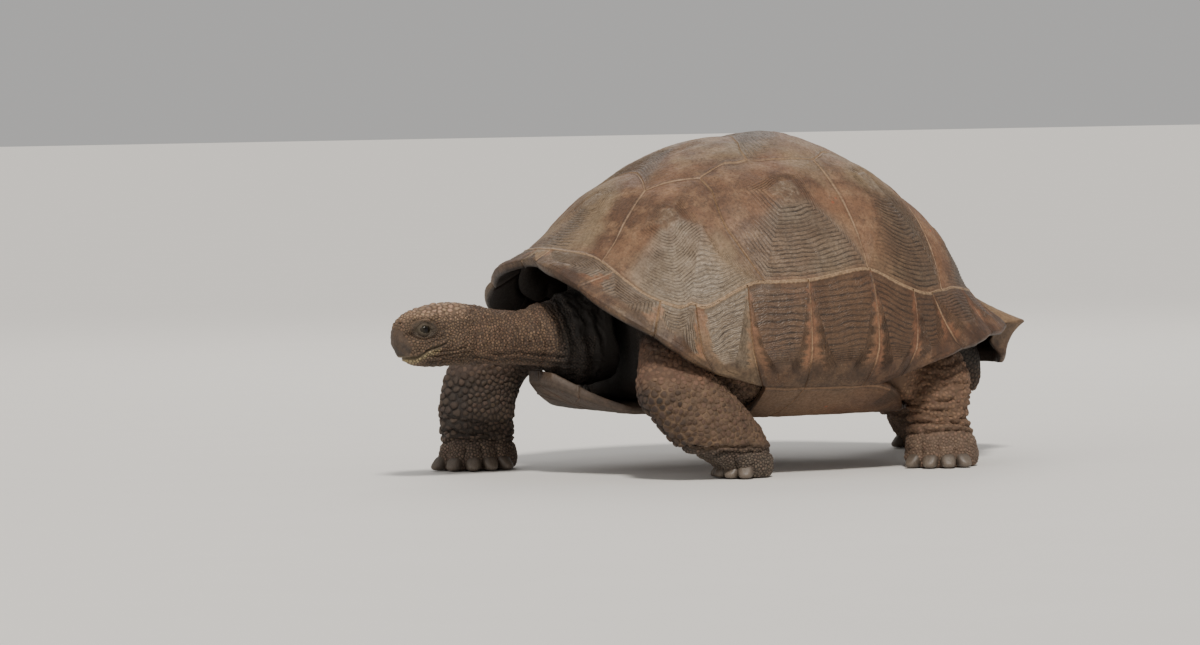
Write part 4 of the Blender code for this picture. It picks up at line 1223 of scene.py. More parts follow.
@dataclass
class Plastron:
    """The six pairs of belly plates."""

    dome: Dome
    low: float = 0.110
    thick: float = 0.014
    lip: float = 0.018
    lip_from: float = -0.38
    lip_length: float = 0.13
    lip_rise: float = 0.058
    tilt_rise: float = 0.012
    wing_from: float = 0.24
    wing_width: float = 0.112
    wing_rise: float = 0.0585
    front: tuple[Pair, ...] = ((0.050, -0.503), (0.095, -0.465), (0.165, -0.405), (0.200, -0.310))
    notch: Pair = (0.235, -0.195)
    rear: tuple[Pair, ...] = ((0.200, 0.190), (0.150, 0.270), (0.085, 0.335))
    seams: tuple[float, ...] = (-0.505, -0.430, -0.275, -0.205, 0.085, 0.215, 0.300)
    bridge: tuple[float, ...] = (69, 79, 92, 106)
    pectoral_middle: Pair = (0.210, -0.185)
    beside: list[Pair] = field(default_factory=list)

    def height(self, x: Array, u: Array) -> Array:
        """Level of the underside, which rises at the front and in the wings that meet the rim.

        Args:
            x: Places across the body.
            u: Places along it.

        Returns:
            The level at each place.
        """
        front = np.clip((self.lip_from - u) / self.lip_length, 0, None)
        tilt = np.clip((u + 0.15) / -0.15, 0, 1)
        wing = np.clip((np.abs(x) - self.wing_from) / self.wing_width, 0, 1)
        return self.low + self.tilt_rise * tilt + self.lip_rise * front**1.5 + self.wing_rise * wing**1.65

    def body(self, u: Array) -> Array:
        """Thickness, which grows at the front."""
        return self.thick + self.lip * np.clip((self.lip_from - u) / self.lip_length, 0, 1)

    def under(self, at: Array, lift: Array) -> Array:
        """Places on the underside, moved out of the plate by lift."""
        return np.stack([at[:, 0], at[:, 1] + SHELL_Y, self.height(at[:, 0], at[:, 1]) - lift], axis=-1)

    def round_corner(self, before: Pair, corner: Pair, after: Pair) -> list[Pair]:
        """Replaces a corner by a curve.

        Args:
            before: The corner before it.
            corner: The corner.
            after: The corner after it.

        Returns:
            The corner before it, the curve and the corner after it.
        """
        a, b, c = np.array(before), np.array(corner), np.array(after)
        start, end = b + (a - b) * 0.75, b + (c - b) * 0.42
        curve = [(1 - t) ** 2 * start + 2 * t * (1 - t) * b + t**2 * end for t in np.linspace(0, 1, 9)]
        self.beside += [tuple(place) for place in curve]
        return [before, *(tuple(place) for place in curve), after]

    def edges(self, corners: list[Pair]) -> list[Side]:
        """The sides of a plate; one with no neighbour is free.

        Args:
            corners: The corners of the plate in order.

        Returns:
            Its sides.
        """
        outer = {*self.front, self.notch, *self.rear, *self.beside}
        sides = []
        for here, after in zip(corners, [*corners[1:], corners[0]]):
            both = all((abs(round(x, 6)), round(u, 6)) in {(round(a, 6), round(b, 6)) for a, b in outer}
                       for x, u in (here, after))
            tip = self.at_tip(here, after, outer) or self.at_tip(after, here, outer)
            straight = both and not self.shared(here, after)
            joined = min(abs(here[0]), abs(after[0])) > 0.33 and max(here[1], after[1]) < 0.12
            sides.append(Side(np.array([here]), Seam.FREE if (straight or tip) and not joined else Seam.THIN))
        return sides

    def at_tip(self, inner: Pair, outer: Pair, corners: set[Pair]) -> bool:
        """Whether a side leads from the front or rear end of the midline to one of the outer corners."""
        ends = (self.seams[0], self.seams[-1])
        return abs(inner[0]) < 1e-9 and (abs(outer[0]), outer[1]) in corners and inner[1] in ends

    def shared(self, here: Pair, after: Pair) -> bool:
        """Whether a side between two outer corners is a seam with the next plate."""
        pair = {round(here[1], 4), round(after[1], 4)}
        return round(self.beside[1][1], 4) in pair and round(self.seams[3], 4) in pair

    def build(self, finish: Material, lip_finish: Material) -> None:
        """All twelve plates.

        Args:
            finish: Their material.
            lip_finish: The darker one of the four plates under the neck.
        """
        turn = np.radians(np.array(self.bridge))
        rims = self.dome.points(turn, np.ones(4))
        bridge = [(x * 0.998, y - SHELL_Y) for x, y, _ in rims]
        self.beside = bridge
        seams = [(0.0, u) for u in self.seams]
        front, rear = self.front, self.rear
        outlines = {
            "gular": [seams[0], front[0], front[1], seams[1]],
            "humeral": [seams[1], front[1], front[2], front[3], seams[2]],
            "pectoral": [seams[2], front[3], self.notch, bridge[0], bridge[1], seams[3]],
            "abdominal": [seams[3], bridge[1], *self.round_corner(bridge[2], bridge[3], rear[0]), seams[4]],
            "femoral": [seams[4], rear[0], rear[1], seams[5]],
            "anal": [seams[5], rear[1], rear[2], seams[6]],
        }
        for name, corners in outlines.items():
            spread = np.array(corners)
            middle = (spread.min(axis=0) + spread.max(axis=0)) / 2
            if name == "pectoral":
                middle = np.array(self.pectoral_middle)
            for label, sign in (("left", 1), ("right", -1)):
                chosen = [(sign * x, u) for x, u in corners]
                plate = Plate(f"{name}_{label}", self.edges(chosen), (sign * middle[0], middle[1]),
                              self.under, lambda at: self.body(at[:, 1]),
                              crown=0.001, relief=0.0006, rings=30, step=0.005, wear_and_light=0.1,
                              seed=120 + len(name), down=(sign * 1.0, 0.0, 0.0), under_shade=0.4,
                              heart=0.2, fan=(1.2, 1.6))
                node = plate.name
                plate.name = node + "_horn"
                made = plate.build(lip_finish if name in ("gular", "humeral") else finish)
                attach(made, "root")
                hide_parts(node)
        LOG.info("plastron: 12 plates")


# ---------------------------------------------------------------- flesh
DOWN = (0.0, 0.0, -1.0)


@dataclass(frozen=True)
class Foot:
    """A leg's rings from the body to the floor, its creases, and its claws with their bearings."""

    rings: tuple[Station, ...]
    creases: tuple[float, ...]
    claws: int
    first: float
    last: float

    def bearings(self) -> list[float]:
        """The way of each claw, in radians from straight ahead towards the left side."""
        return [math.radians(b) for b in np.linspace(self.first, self.last, self.claws)]


LEGS: dict[str, Foot] = {
    "leg_front_left": Foot((
        ((0.120, -0.280, 0.285), 0.050, 0.056, (0.60, -0.25, -0.75)),
        ((0.215, -0.325, 0.245), 0.055, 0.066, (0.60, -0.10, -0.78)),
        ((0.296, -0.358, 0.182), 0.056, 0.080, (0.15, 0.35, -0.93)),
        ((0.313, -0.308, 0.116), 0.052, 0.077, (0, 0.62, -0.78)),
        ((0.299, -0.227, 0.056), 0.052, 0.057, (0, 0.60, -0.80)),
        ((0.288, -0.205, 0.020), 0.056, 0.052, (0, 0.15, -0.99)),
        ((0.285, -0.203, 0.000), 0.050, 0.045, DOWN)), (0.046, 0.058), 5, -55, 60),
    "leg_front_right": Foot((
        ((-0.120, -0.320, 0.285), 0.050, 0.056, (-0.60, -0.55, -0.60)),
        ((-0.190, -0.405, 0.250), 0.055, 0.066, (-0.50, -0.50, -0.70)),
        ((-0.246, -0.500, 0.196), 0.055, 0.079, (-0.10, -0.25, -0.96)),
        ((-0.256, -0.519, 0.128), 0.053, 0.079, DOWN),
        ((-0.254, -0.521, 0.060), 0.055, 0.074, DOWN),
        ((-0.250, -0.523, 0.022), 0.064, 0.083, DOWN),
        ((-0.250, -0.523, 0.000), 0.056, 0.075, DOWN)), (0.056, 0.070, 0.098), 5, -2, 118),
    "leg_hind_left": Foot((
        ((0.120, 0.200, 0.290), 0.056, 0.062, (0.60, 0.10, -0.78)),
        ((0.205, 0.225, 0.225), 0.062, 0.072, (0.55, 0.05, -0.83)),
        ((0.255, 0.236, 0.160), 0.061, 0.067, (0.20, 0, -0.98)),
        ((0.270, 0.228, 0.095), 0.056, 0.058, DOWN),
        ((0.270, 0.234, 0.045), 0.062, 0.071, DOWN),
        ((0.270, 0.236, 0.018), 0.065, 0.075, DOWN),
        ((0.270, 0.236, 0.000), 0.059, 0.068, DOWN)), (0.066, 0.083, 0.101, 0.117, 0.134, 0.155), 4, 12, 100),
    "leg_hind_right": Foot((
        ((-0.120, 0.215, 0.280), 0.056, 0.062, (-0.50, 0.50, -0.70)),
        ((-0.185, 0.300, 0.215), 0.060, 0.070, (-0.40, 0.60, -0.70)),
        ((-0.225, 0.385, 0.153), 0.058, 0.067, (-0.10, 0.65, -0.75)),
        ((-0.240, 0.456, 0.096), 0.055, 0.062, (0, 0.50, -0.86)),
        ((-0.240, 0.493, 0.048), 0.060, 0.066, (0, 0.25, -0.97)),
        ((-0.240, 0.508, 0.018), 0.064, 0.072, DOWN),
        ((-0.240, 0.508, 0.000), 0.058, 0.066, DOWN)), (0.066, 0.082, 0.100, 0.118), 4, -100, -12),
}
NECK: tuple[Station, ...] = (
    ((0, -0.370, 0.275), 0.084, 0.095, None),
    ((0, -0.440, 0.263), 0.080, 0.095, None),
    ((0, -0.497, 0.272), 0.067, 0.062, None),
    ((0, -0.550, 0.270), 0.057, 0.052, None),
    ((0, -0.605, 0.273), 0.056, 0.054, None),
    ((0, -0.6496, 0.2780), 0.0575, 0.0595, (0, -1, 0)),
)
TAIL: tuple[Station, ...] = (
    ((0, 0.300, 0.285), 0.060, 0.055, None),
    ((0, 0.390, 0.245), 0.050, 0.045, None),
    ((0, 0.445, 0.195), 0.036, 0.034, None),
    ((0, 0.462, 0.150), 0.022, 0.021, None),
    ((0, 0.464, 0.126), 0.009, 0.009, DOWN),
)


def neck_waves(points: Array) -> tuple[Array, Array]:
    """The wrinkles of the neck from -1 to 1: upright ones on its sides and drapes under it.

    Args:
        points: Places on the skin.

    Returns:
        Both waves at each place.
    """
    _, u, z = body_axes(points)
    noise, finer = ripple(points, 0.06, 5), ripple(points, 0.018, 6)
    upright = np.sin((u + 0.22 * (z - 0.27)) * 2 * np.pi / 0.0098 + 2.4 * noise + 1.3 * finer)
    drape = np.sin((z + 0.10 * u) * 2 * np.pi / 0.0135 + 1.5 * noise + 0.7 * finer)
    return upright, drape


@dataclass(frozen=True)
class Face:
    """Where the features of the head lie, as (u, z) on its side, and their sizes."""

    eye: Place = (0.0408, -0.7655, 0.2939)
    ball: float = 0.0125
    lid: float = 0.0136
    opening: Pair = (0.0106, 0.0068)
    socket: Pair = (0.0175, 0.0120)
    mouth: Curve = Curve(((-0.830, 0.2375), (-0.779, 0.2400), (-0.756, 0.2550), (-0.7355, 0.2615),
                          (-0.7236, 0.2665)))
    mouth_start: float = -0.830
    mouth_end: float = -0.7236
    nostril: Place = (0.0125, -0.8030, 0.3060)
    drum: Pair = (-0.7255, 0.285)
    brow: Pair = (-0.742, 0.3195)
    brow_length: float = 0.050
    temple: Pair = (-0.765, 0.3345)
    lore: Pair = (-0.7890, 0.2850)
    hollow: Pair = (-0.742, 0.2760)
    jowl: Pair = (-0.692, 0.258)
    jowl_creases: tuple[Pair, ...] = ((0.2555, 0.0), (0.2470, 0.4), (0.2385, 0.9), (0.2300, 1.3))
    corner: Pair = (-0.7185, 0.2640)
    stations: tuple[tuple[float, float, float, float], ...] = (
        (-0.630, 0.3355, 0.2195, 0.0560),
        (-0.650, 0.3375, 0.2185, 0.0575),
        (-0.690, 0.3435, 0.2200, 0.0600),
        (-0.725, 0.3420, 0.2185, 0.0575),
        (-0.755, 0.3360, 0.2195, 0.0510),
        (-0.775, 0.3300, 0.2235, 0.0435),
        (-0.792, 0.3210, 0.2350, 0.0345),
        (-0.804, 0.3090, 0.2460, 0.0260),
        (-0.813, 0.2940, 0.2580, 0.0150),
    )

    def rings(self) -> tuple[Station, ...]:
        """The head as rings."""
        return tuple(((0, u, (top + low) / 2), a, (top - low) / 2, (0, -1, 0))
                     for u, top, low, a in self.stations)

    def above_mouth(self, u: Array, z: Array) -> Array:
        """How far each place lies above the line of the mouth."""
        return z - self.mouth(np.clip(u, self.mouth_start, self.mouth_end))

    def from_eye(self, u: Array, z: Array) -> Array:
        """How far each place lies from the middle of the eye, where 1 is the edge of the socket."""
        return np.hypot((u - self.eye[1]) / self.socket[0], (z - self.eye[2]) / self.socket[1])

    def from_nostril(self, x: Array, u: Array, z: Array) -> Array:
        """How far each place lies from the nostril."""
        return np.linalg.norm(np.stack([x, u, z], axis=1) - np.array(self.nostril), axis=1)


@dataclass
class Flesh:
    """One skin over head, neck, legs, trunk and tail."""

    dome: Dome
    plastron: Plastron
    face: Face = field(default_factory=Face)
    voxel: float = 0.0044
    under_scales: float = 0.0016
    pull: float = 0.8
    under_shell: float = 0.034
    over_belly: float = 0.0012
    sole: float = 0.0004

    def tube(self, rings: Sequence[Station], sides: int = 56,
             power: float = 2.2) -> tuple[Array, list[Array]]:
        """A closed smooth tube through rings.

        Args:
            rings: Each a centre, half width, half depth and normal.
            sides: Vertices round it.
            power: 2 for an ellipse, more for a squarer ring.

        Returns:
            Its vertices and its faces.
        """
        centres = np.array([(c[0], c[1] + SHELL_Y, c[2]) for c, *_ in rings], float)
        halves = np.array([(a, b) for _, a, b, _ in rings]) - self.under_scales
        tangents = np.gradient(centres, axis=0)
        ways = np.array([t if n is None else n for t, (*_, n) in zip(tangents, rings)], float)
        ways /= np.linalg.norm(ways, axis=1, keepdims=True)
        run = np.concatenate([[0], np.cumsum(np.linalg.norm(np.diff(centres, axis=0), axis=1))])
        slopes = np.gradient(centres, run, axis=0)
        loops = []
        for s in np.linspace(0, run[-1], max(8, int(run[-1] / 0.006))):
            i = int(np.clip(np.searchsorted(run, s, side="right") - 1, 0, len(run) - 2))
            span = run[i + 1] - run[i]
            t = (s - run[i]) / span
            centre = hermite(t, span, centres[i], slopes[i], centres[i + 1], slopes[i + 1], self.pull)
            soft = t * t * (3 - 2 * t) * 0.5 + t * 0.5
            a, b = halves[i] + (halves[i + 1] - halves[i]) * soft
            way = ways[i] + (ways[i + 1] - ways[i]) * soft
            way /= np.linalg.norm(way)
            level = np.array((1.0, 0, 0)) - way * way[0]
            level /= np.linalg.norm(level)
            turn = 2 * np.pi * (np.arange(sides) + 0.5) / sides
            c, w = np.cos(turn), np.sin(turn)
            r = (np.abs(c) ** power + np.abs(w) ** power) ** (-1 / power)
            loops.append(centre + np.outer(a * c * r, level) + np.outer(b * w * r, np.cross(way, level)))
        return loft(loops)

    def trunk(self) -> tuple[Array, list[Array]]:
        """The body inside the shell, which stops short of the openings front and rear."""
        count = 72
        side_reach, front_reach, rear_reach = 0.94, 0.74, 0.80
        degrees = 360 * (np.arange(count) + 0.5) / count - 180
        c = np.cos(np.radians(degrees))
        end = np.where(c > 0, front_reach, rear_reach)
        far = side_reach + (end - side_reach) * np.clip((np.abs(c) - 0.15) / 0.35, 0, 1)
        loops = []
        for share in np.linspace(0.08, 1, 14):
            disc = on_disc(degrees, share * far)
            loops.append(self.dome.at_disc(disc) - self.dome.normals(disc) * self.under_shell)
        rim = loops[-1]
        for share in (0.92, 0.7, 0.4, 0.1):
            x, u = rim[:, 0] * share, (rim[:, 1] - SHELL_Y) * share
            lift = self.plastron.body(u) + self.over_belly
            loops.append(np.stack([x, u + SHELL_Y, self.plastron.height(x, u) + lift], axis=1))
        return loft(loops)

    def rough_out(self) -> Object:
        """Joins the parts of the body into one closed skin."""
        parts = [self.trunk(), self.tube(NECK), self.tube(TAIL, 40), self.tube(self.face.rings(), 64, 2.35)]
        parts += [self.tube(leg.rings) for leg in LEGS.values()]
        points, faces, start = [], [], 0
        for vertices, groups in parts:
            points.append(vertices)
            faces += [group + start for group in groups]
            start += len(vertices)
        made = mesh_object("hide", np.concatenate(points), faces)
        deselect()
        made.select_set(True)
        bpy.context.view_layer.objects.active = made
        bpy.ops.object.mode_set(mode="EDIT")
        bpy.ops.mesh.select_all(action="SELECT")
        bpy.ops.mesh.normals_make_consistent(inside=False)
        bpy.ops.object.mode_set(mode="OBJECT")
        remesh = made.modifiers.new("one_skin", "REMESH")
        remesh.mode = "VOXEL"
        remesh.voxel_size = self.voxel
        remesh.use_smooth_shade = True
        bpy.ops.object.modifier_apply(modifier=remesh.name)
        return made

    def thin_hidden(self, made: Object) -> None:
        """Makes the skin coarser where the shell hides it.

        Args:
            made: The skin.
        """
        points, _ = read_mesh(made)
        x, u, z = body_axes(points)
        inside = (z > 0.262) & (u > -0.38) | (np.abs(u) < 0.15)
        inside |= (np.abs(x) < 0.165) & (u > -0.36) & (u < 0.33)
        group = made.vertex_groups.new(name="hidden")
        group.add([int(i) for i in np.flatnonzero(inside)], 1.0, "REPLACE")
        thin = made.modifiers.new("thin_hidden", "DECIMATE")
        share = float(inside.mean())
        thin.ratio = 1 - share * 0.97
        thin.vertex_group = "hidden"
        thin.vertex_group_factor = 10.0
        bpy.ops.object.modifier_apply(modifier=thin.name)
        made.vertex_groups.clear()

    def refine(self, made: Object, near: Callable[[Array], Array]) -> None:
        """Cuts each face in four where a test of the face's middle holds.

        Args:
            made: The skin.
            near: Takes places and returns which faces to cut.
        """
        mesh = made.data
        centres = np.empty(len(mesh.polygons) * 3, np.float32)
        mesh.polygons.foreach_get("center", centres)
        chosen = near(centres.reshape(-1, 3).astype(float))
        deselect()
        made.select_set(True)
        bpy.context.view_layer.objects.active = made
        bpy.ops.object.mode_set(mode="EDIT")
        bpy.ops.mesh.select_mode(type="FACE")
        bpy.ops.mesh.select_all(action="DESELECT")
        bpy.ops.object.mode_set(mode="OBJECT")
        mesh.polygons.foreach_set("select", chosen)
        bpy.ops.object.mode_set(mode="EDIT")
        bpy.ops.mesh.subdivide(number_cuts=1, smoothness=0.6)
        bpy.ops.object.mode_set(mode="OBJECT")

    def clean(self, made: Object) -> None:
        """Turns all faces into triangles, merged and facing out.

        Args:
            made: The skin.
        """
        bm = bmesh.new()
        bm.from_mesh(made.data)
        bmesh.ops.remove_doubles(bm, verts=bm.verts, dist=5e-5)
        bmesh.ops.triangulate(bm, faces=bm.faces)
        bmesh.ops.recalc_face_normals(bm, faces=bm.faces)
        bm.to_mesh(made.data)
        bm.free()
        made.data.shade_smooth()

    def soften(self, made: Object, passes: int) -> None:
        """Smooths the steps that the remesh leaves.

        Args:
            made: The skin.
            passes: How often.
        """
        bm = bmesh.new()
        bm.from_mesh(made.data)
        for _ in range(passes):
            bmesh.ops.smooth_vert(bm, verts=bm.verts, factor=0.5,
                                  use_axis_x=True, use_axis_y=True, use_axis_z=True)
        bm.to_mesh(made.data)
        bm.free()

    def head_relief(self, points: Array) -> Array:
        """The forms of the head: mouth, brow, lids, nostril, eardrum, jowl and creases.

        Args:
            points: Places on the skin.

        Returns:
            How far the skin stands out or in at each place.
        """
        face = self.face
        x, u, z = body_axes(points)
        x = np.abs(x)

        def away(at: Pair, long: float = 1.0, tall: float = 1.0) -> Array:
            """How far each place lies from a feature on the side of the head."""
            return np.hypot((u - at[0]) / long, (z - at[1]) / tall)

        # the mouth line between its two lips
        lip = face.above_mouth(u, z)
        on_mouth = ease(u, face.mouth_end + 0.006, face.mouth_end - 0.004)
        wide = ease(x, 0.018, 0.036)
        lift = -0.0042 * bell(lip, 0.0015) * on_mouth
        lift += 0.0020 * bell(lip - 0.0050, 0.0034) * on_mouth
        lift += 0.0012 * bell(lip + 0.0042, 0.0026) * on_mouth
        # brow and temple
        along = np.clip((u - face.brow[0]) / -face.brow_length, 0, 1)
        level = face.brow[1] - 0.022 * along - 0.006 * along**2
        brow = np.hypot(u - (face.brow[0] - face.brow_length * along), z - level)
        lift += 0.0060 * bell(brow, 0.0052) * ease(x, 0.014, 0.028)
        lift -= 0.0022 * bell(away(face.temple), 0.012) * ease(x, 0.008, 0.02)
        # rings round the eye, and the hollows before and behind it
        ring = away(face.eye[1:], 0.0205, 0.0145)
        lift += (0.0014 * bell(ring - 1.05, 0.12) - 0.0022 * bell(ring - 1.34, 0.14)
                 + 0.0010 * bell(ring - 1.62, 0.12)) * wide * ease(u, -0.795, -0.785)
        lift -= 0.0048 * bell(away(face.lore, 1.0, 1.3), 0.0095) * ease(x, 0.010, 0.022)
        lift -= 0.0030 * bell(u + 0.660 + 0.20 * (z - 0.27), 0.011) * ease(z, 0.335, 0.300)
        lift -= 0.0026 * bell(away(face.hollow, 1.5, 0.8), 0.0080) * wide
        # nostril and eardrum
        hole = face.from_nostril(x, u, z)
        lift += -0.0060 * bell(hole, 0.0026) + 0.0014 * bell(hole - 0.0060, 0.0024)
        drum = away(face.drum)
        lift += (-0.0020 * bell(drum - 0.0105, 0.0024) + 0.0008 * bell(drum, 0.006)) * ease(x, 0.03, 0.04)
        # the jowl with its creases, and the corner of the mouth
        lift += 0.0062 * bell(away(face.jowl, 0.024, 0.024), 1.0) * wide
        for level, sway in face.jowl_creases:
            bend = z - level - 0.0040 * np.sin((u + 0.70) * 70 + sway) + 0.25 * np.clip(-0.725 - u, 0, 0.02)
            lift -= 0.0034 * bell(bend, 0.0015) * ease(u, -0.760, -0.742) * ease(u, -0.668, -0.690) * wide
        lift -= 0.0024 * bell(away(face.corner) - 0.0070, 0.0018) * ease(u, -0.7235, -0.7180) * wide
        # fine wrinkles, and the hook of the beak
        nape = np.sin((u - 0.30 * (z - 0.30)) * 2 * np.pi / 0.0085 + 2.0 * ripple(points, 0.05, 62))
        lift += 0.0007 * nape * ease(u, -0.715, -0.690)
        crease = np.sin((z - 0.30 + 0.3 * u) * 800 + 7 * ripple(points, 0.03, 61))
        lift += 0.0006 * crease * ease(u, -0.775, -0.745) * wide * ease(ring, 1.2, 1.5)
        lift += 0.0007 * ripple(points, 0.013, 63)
        hook = bell(x, 0.0070) * bell(z - 0.2440, 0.0050) * ease(u, -0.785, -0.795)
        return lift + 0.0022 * hook

    def wrinkles(self, points: Array) -> Array:
        """Folds and wrinkles of neck, chest and legs.

        Args:
            points: Places on the skin.

        Returns:
            How far the skin stands out or in at each place.
        """
        x, u, z = body_axes(points)
        noise = ripple(points, 0.06, 5)
        finer = ripple(points, 0.018, 6)
        neck = (np.abs(x) < 0.11) & (u < -0.40)
        on_neck = neck * ease(u, -0.672, -0.640)
        low = ease(z, 0.262, 0.232)
        upright, drape = neck_waves(points)
        breaks = 0.55 + 0.45 * ripple(points, 0.025, 8)
        waves = (1 - low) * 0.0019 * upright + low * 0.0034 * (drape - 0.3) + 0.0009 * finer
        lift = on_neck * breaks * waves
        collar = bell(u + 0.497 + 0.15 * (z - 0.27), 0.010) * on_neck
        lift += 0.0035 * collar - 0.0030 * on_neck * bell(u + 0.517 + 0.15 * (z - 0.27), 0.006)
        shoulder = neck * ease(u, -0.500, -0.470)
        lift += shoulder * 0.0028 * (np.sin((u * 0.8 + 0.10 * z) * 2 * np.pi / 0.024 + 1.6 * noise) - 0.5)
        for name, leg in LEGS.items():
            mine = ((x > 0) == name.endswith("left")) & ((u < FORE_LEGS_TO) == name.startswith("leg_front"))
            mine &= (np.abs(x) > 0.10) & (z < 0.30)
            lift += mine * self.leg_relief(name, leg, points, noise, finer)
        return lift

    def leg_relief(self, name: str, leg: Foot, points: Array, noise: Array, finer: Array) -> Array:
        """Toes, creases above them and folds up the leg.

        Args:
            name: Which leg.
            leg: Its sizes.
            points: Places on the skin.
            noise: Broad noise at each.
            finer: Finer noise at each.

        Returns:
            How far the skin stands out at each place.
        """
        x, u, z = body_axes(points)
        (cx, cu, _), _, _, _ = leg.rings[-2]
        bearing = np.arctan2(x - cx, -(u - cu))
        toes = np.zeros(len(points))
        gap = math.radians((leg.last - leg.first) / (leg.claws - 1))
        for way in leg.bearings():
            off = np.abs((bearing - way + np.pi) % (2 * np.pi) - np.pi)
            toes = np.maximum(toes, np.clip(1 - (off / (gap * 0.5)) ** 2, 0, 1) ** 0.5)
        centre = math.radians((leg.first + leg.last) / 2)
        reach = math.radians(leg.last - leg.first) / 2
        off = np.abs((bearing - centre + np.pi) % (2 * np.pi) - np.pi)
        front = ease(off, reach + gap * 0.9, reach)
        tall = ease(z, 0.060, 0.042) * (0.45 + 0.55 * ease(z, 0.012, 0.030))
        lift = front * tall * (0.0080 * toes - 0.0052)
        for i, level in enumerate(leg.creases):
            depth = 0.0066 if i < 2 else 0.0042
            bend = level + 0.0035 * noise + 0.006 * np.sin(bearing * 1.3 + i)
            lift -= depth * bell(z - bend, 0.0028) * ease(noise + 0.9, 0.0, 0.6)
            lift += depth * 0.35 * bell(z - bend - 0.007, 0.004)
        folds = np.sin(z * 2 * np.pi / 0.019 + 2.2 * noise + 0.8 * finer)
        rough = 0.0020 if "hind" in name else 0.0008
        return lift + rough * folds * ease(z, 0.05, 0.09) + 0.0010 * finer

    def set_eyes(self, points: Array) -> Array:
        """Wraps the skin round each eyeball, with an opening between the lids.

        Args:
            points: Places on the skin.

        Returns:
            The same places, moved near the eyes.
        """
        face = self.face
        for side in (1, -1):
            centre = np.array((side * face.eye[0], face.eye[1] + SHELL_Y, face.eye[2]))
            away = points - centre
            reach = np.linalg.norm(away, axis=1)
            ray = away / np.maximum(reach, 1e-6)[:, None]
            near = (reach < 0.024) & (ray[:, 0] * side > -0.15)
            across, up = ray[:, 1] * face.ball, ray[:, 2] * face.ball
            out = np.hypot((across + 0.10 * up) / face.opening[0], up / face.opening[1])
            inside = ease(out, 1.06, 0.94) * (ray[:, 0] * side > 0.2)
            rim = face.lid + 0.0003 * bell(out - 1.22, 0.16) - 0.0006 * bell(out - 1.60, 0.10)
            rim = rim + 0.0004 * bell(out - 1.9, 0.12)
            target = rim * (1 - inside) + (face.ball - 0.0016) * inside
            soft = np.where(inside > 0, target, np.maximum(reach, target))
            moved = centre + ray * soft[:, None]
            points = np.where(near[:, None], moved, points)
        return points

    def build(self) -> Object:
        """Makes the whole skin, still without a finish.

        Returns:
            The skin.
        """
        made = self.rough_out()
        self.thin_hidden(made)
        self.soften(made, 4)
        self.refine(made, lambda at: (at[:, 1] - SHELL_Y < -0.47) & (np.abs(at[:, 0]) < 0.095)
                    & (at[:, 2] > 0.19))
        self.soften(made, 2)
        eye = self.face.eye
        self.refine(made, lambda at: (np.hypot(at[:, 1] - SHELL_Y - eye[1], at[:, 2] - eye[2]) < 0.021)
                    & (np.abs(at[:, 0]) > 0.02))
        self.clean(made)
        points, normals = read_mesh(made)
        head = ease(points[:, 1] - SHELL_Y, -0.640, -0.665)
        points = points + normals * (head * self.head_relief(points) + self.wrinkles(points))[:, None]
        points = self.set_eyes(points)
        points[:, 2] = np.maximum(points[:, 2], self.sole)
        write_points(made, points)
        LOG.info("skin: %d triangles", len(made.data.polygons))
        return made


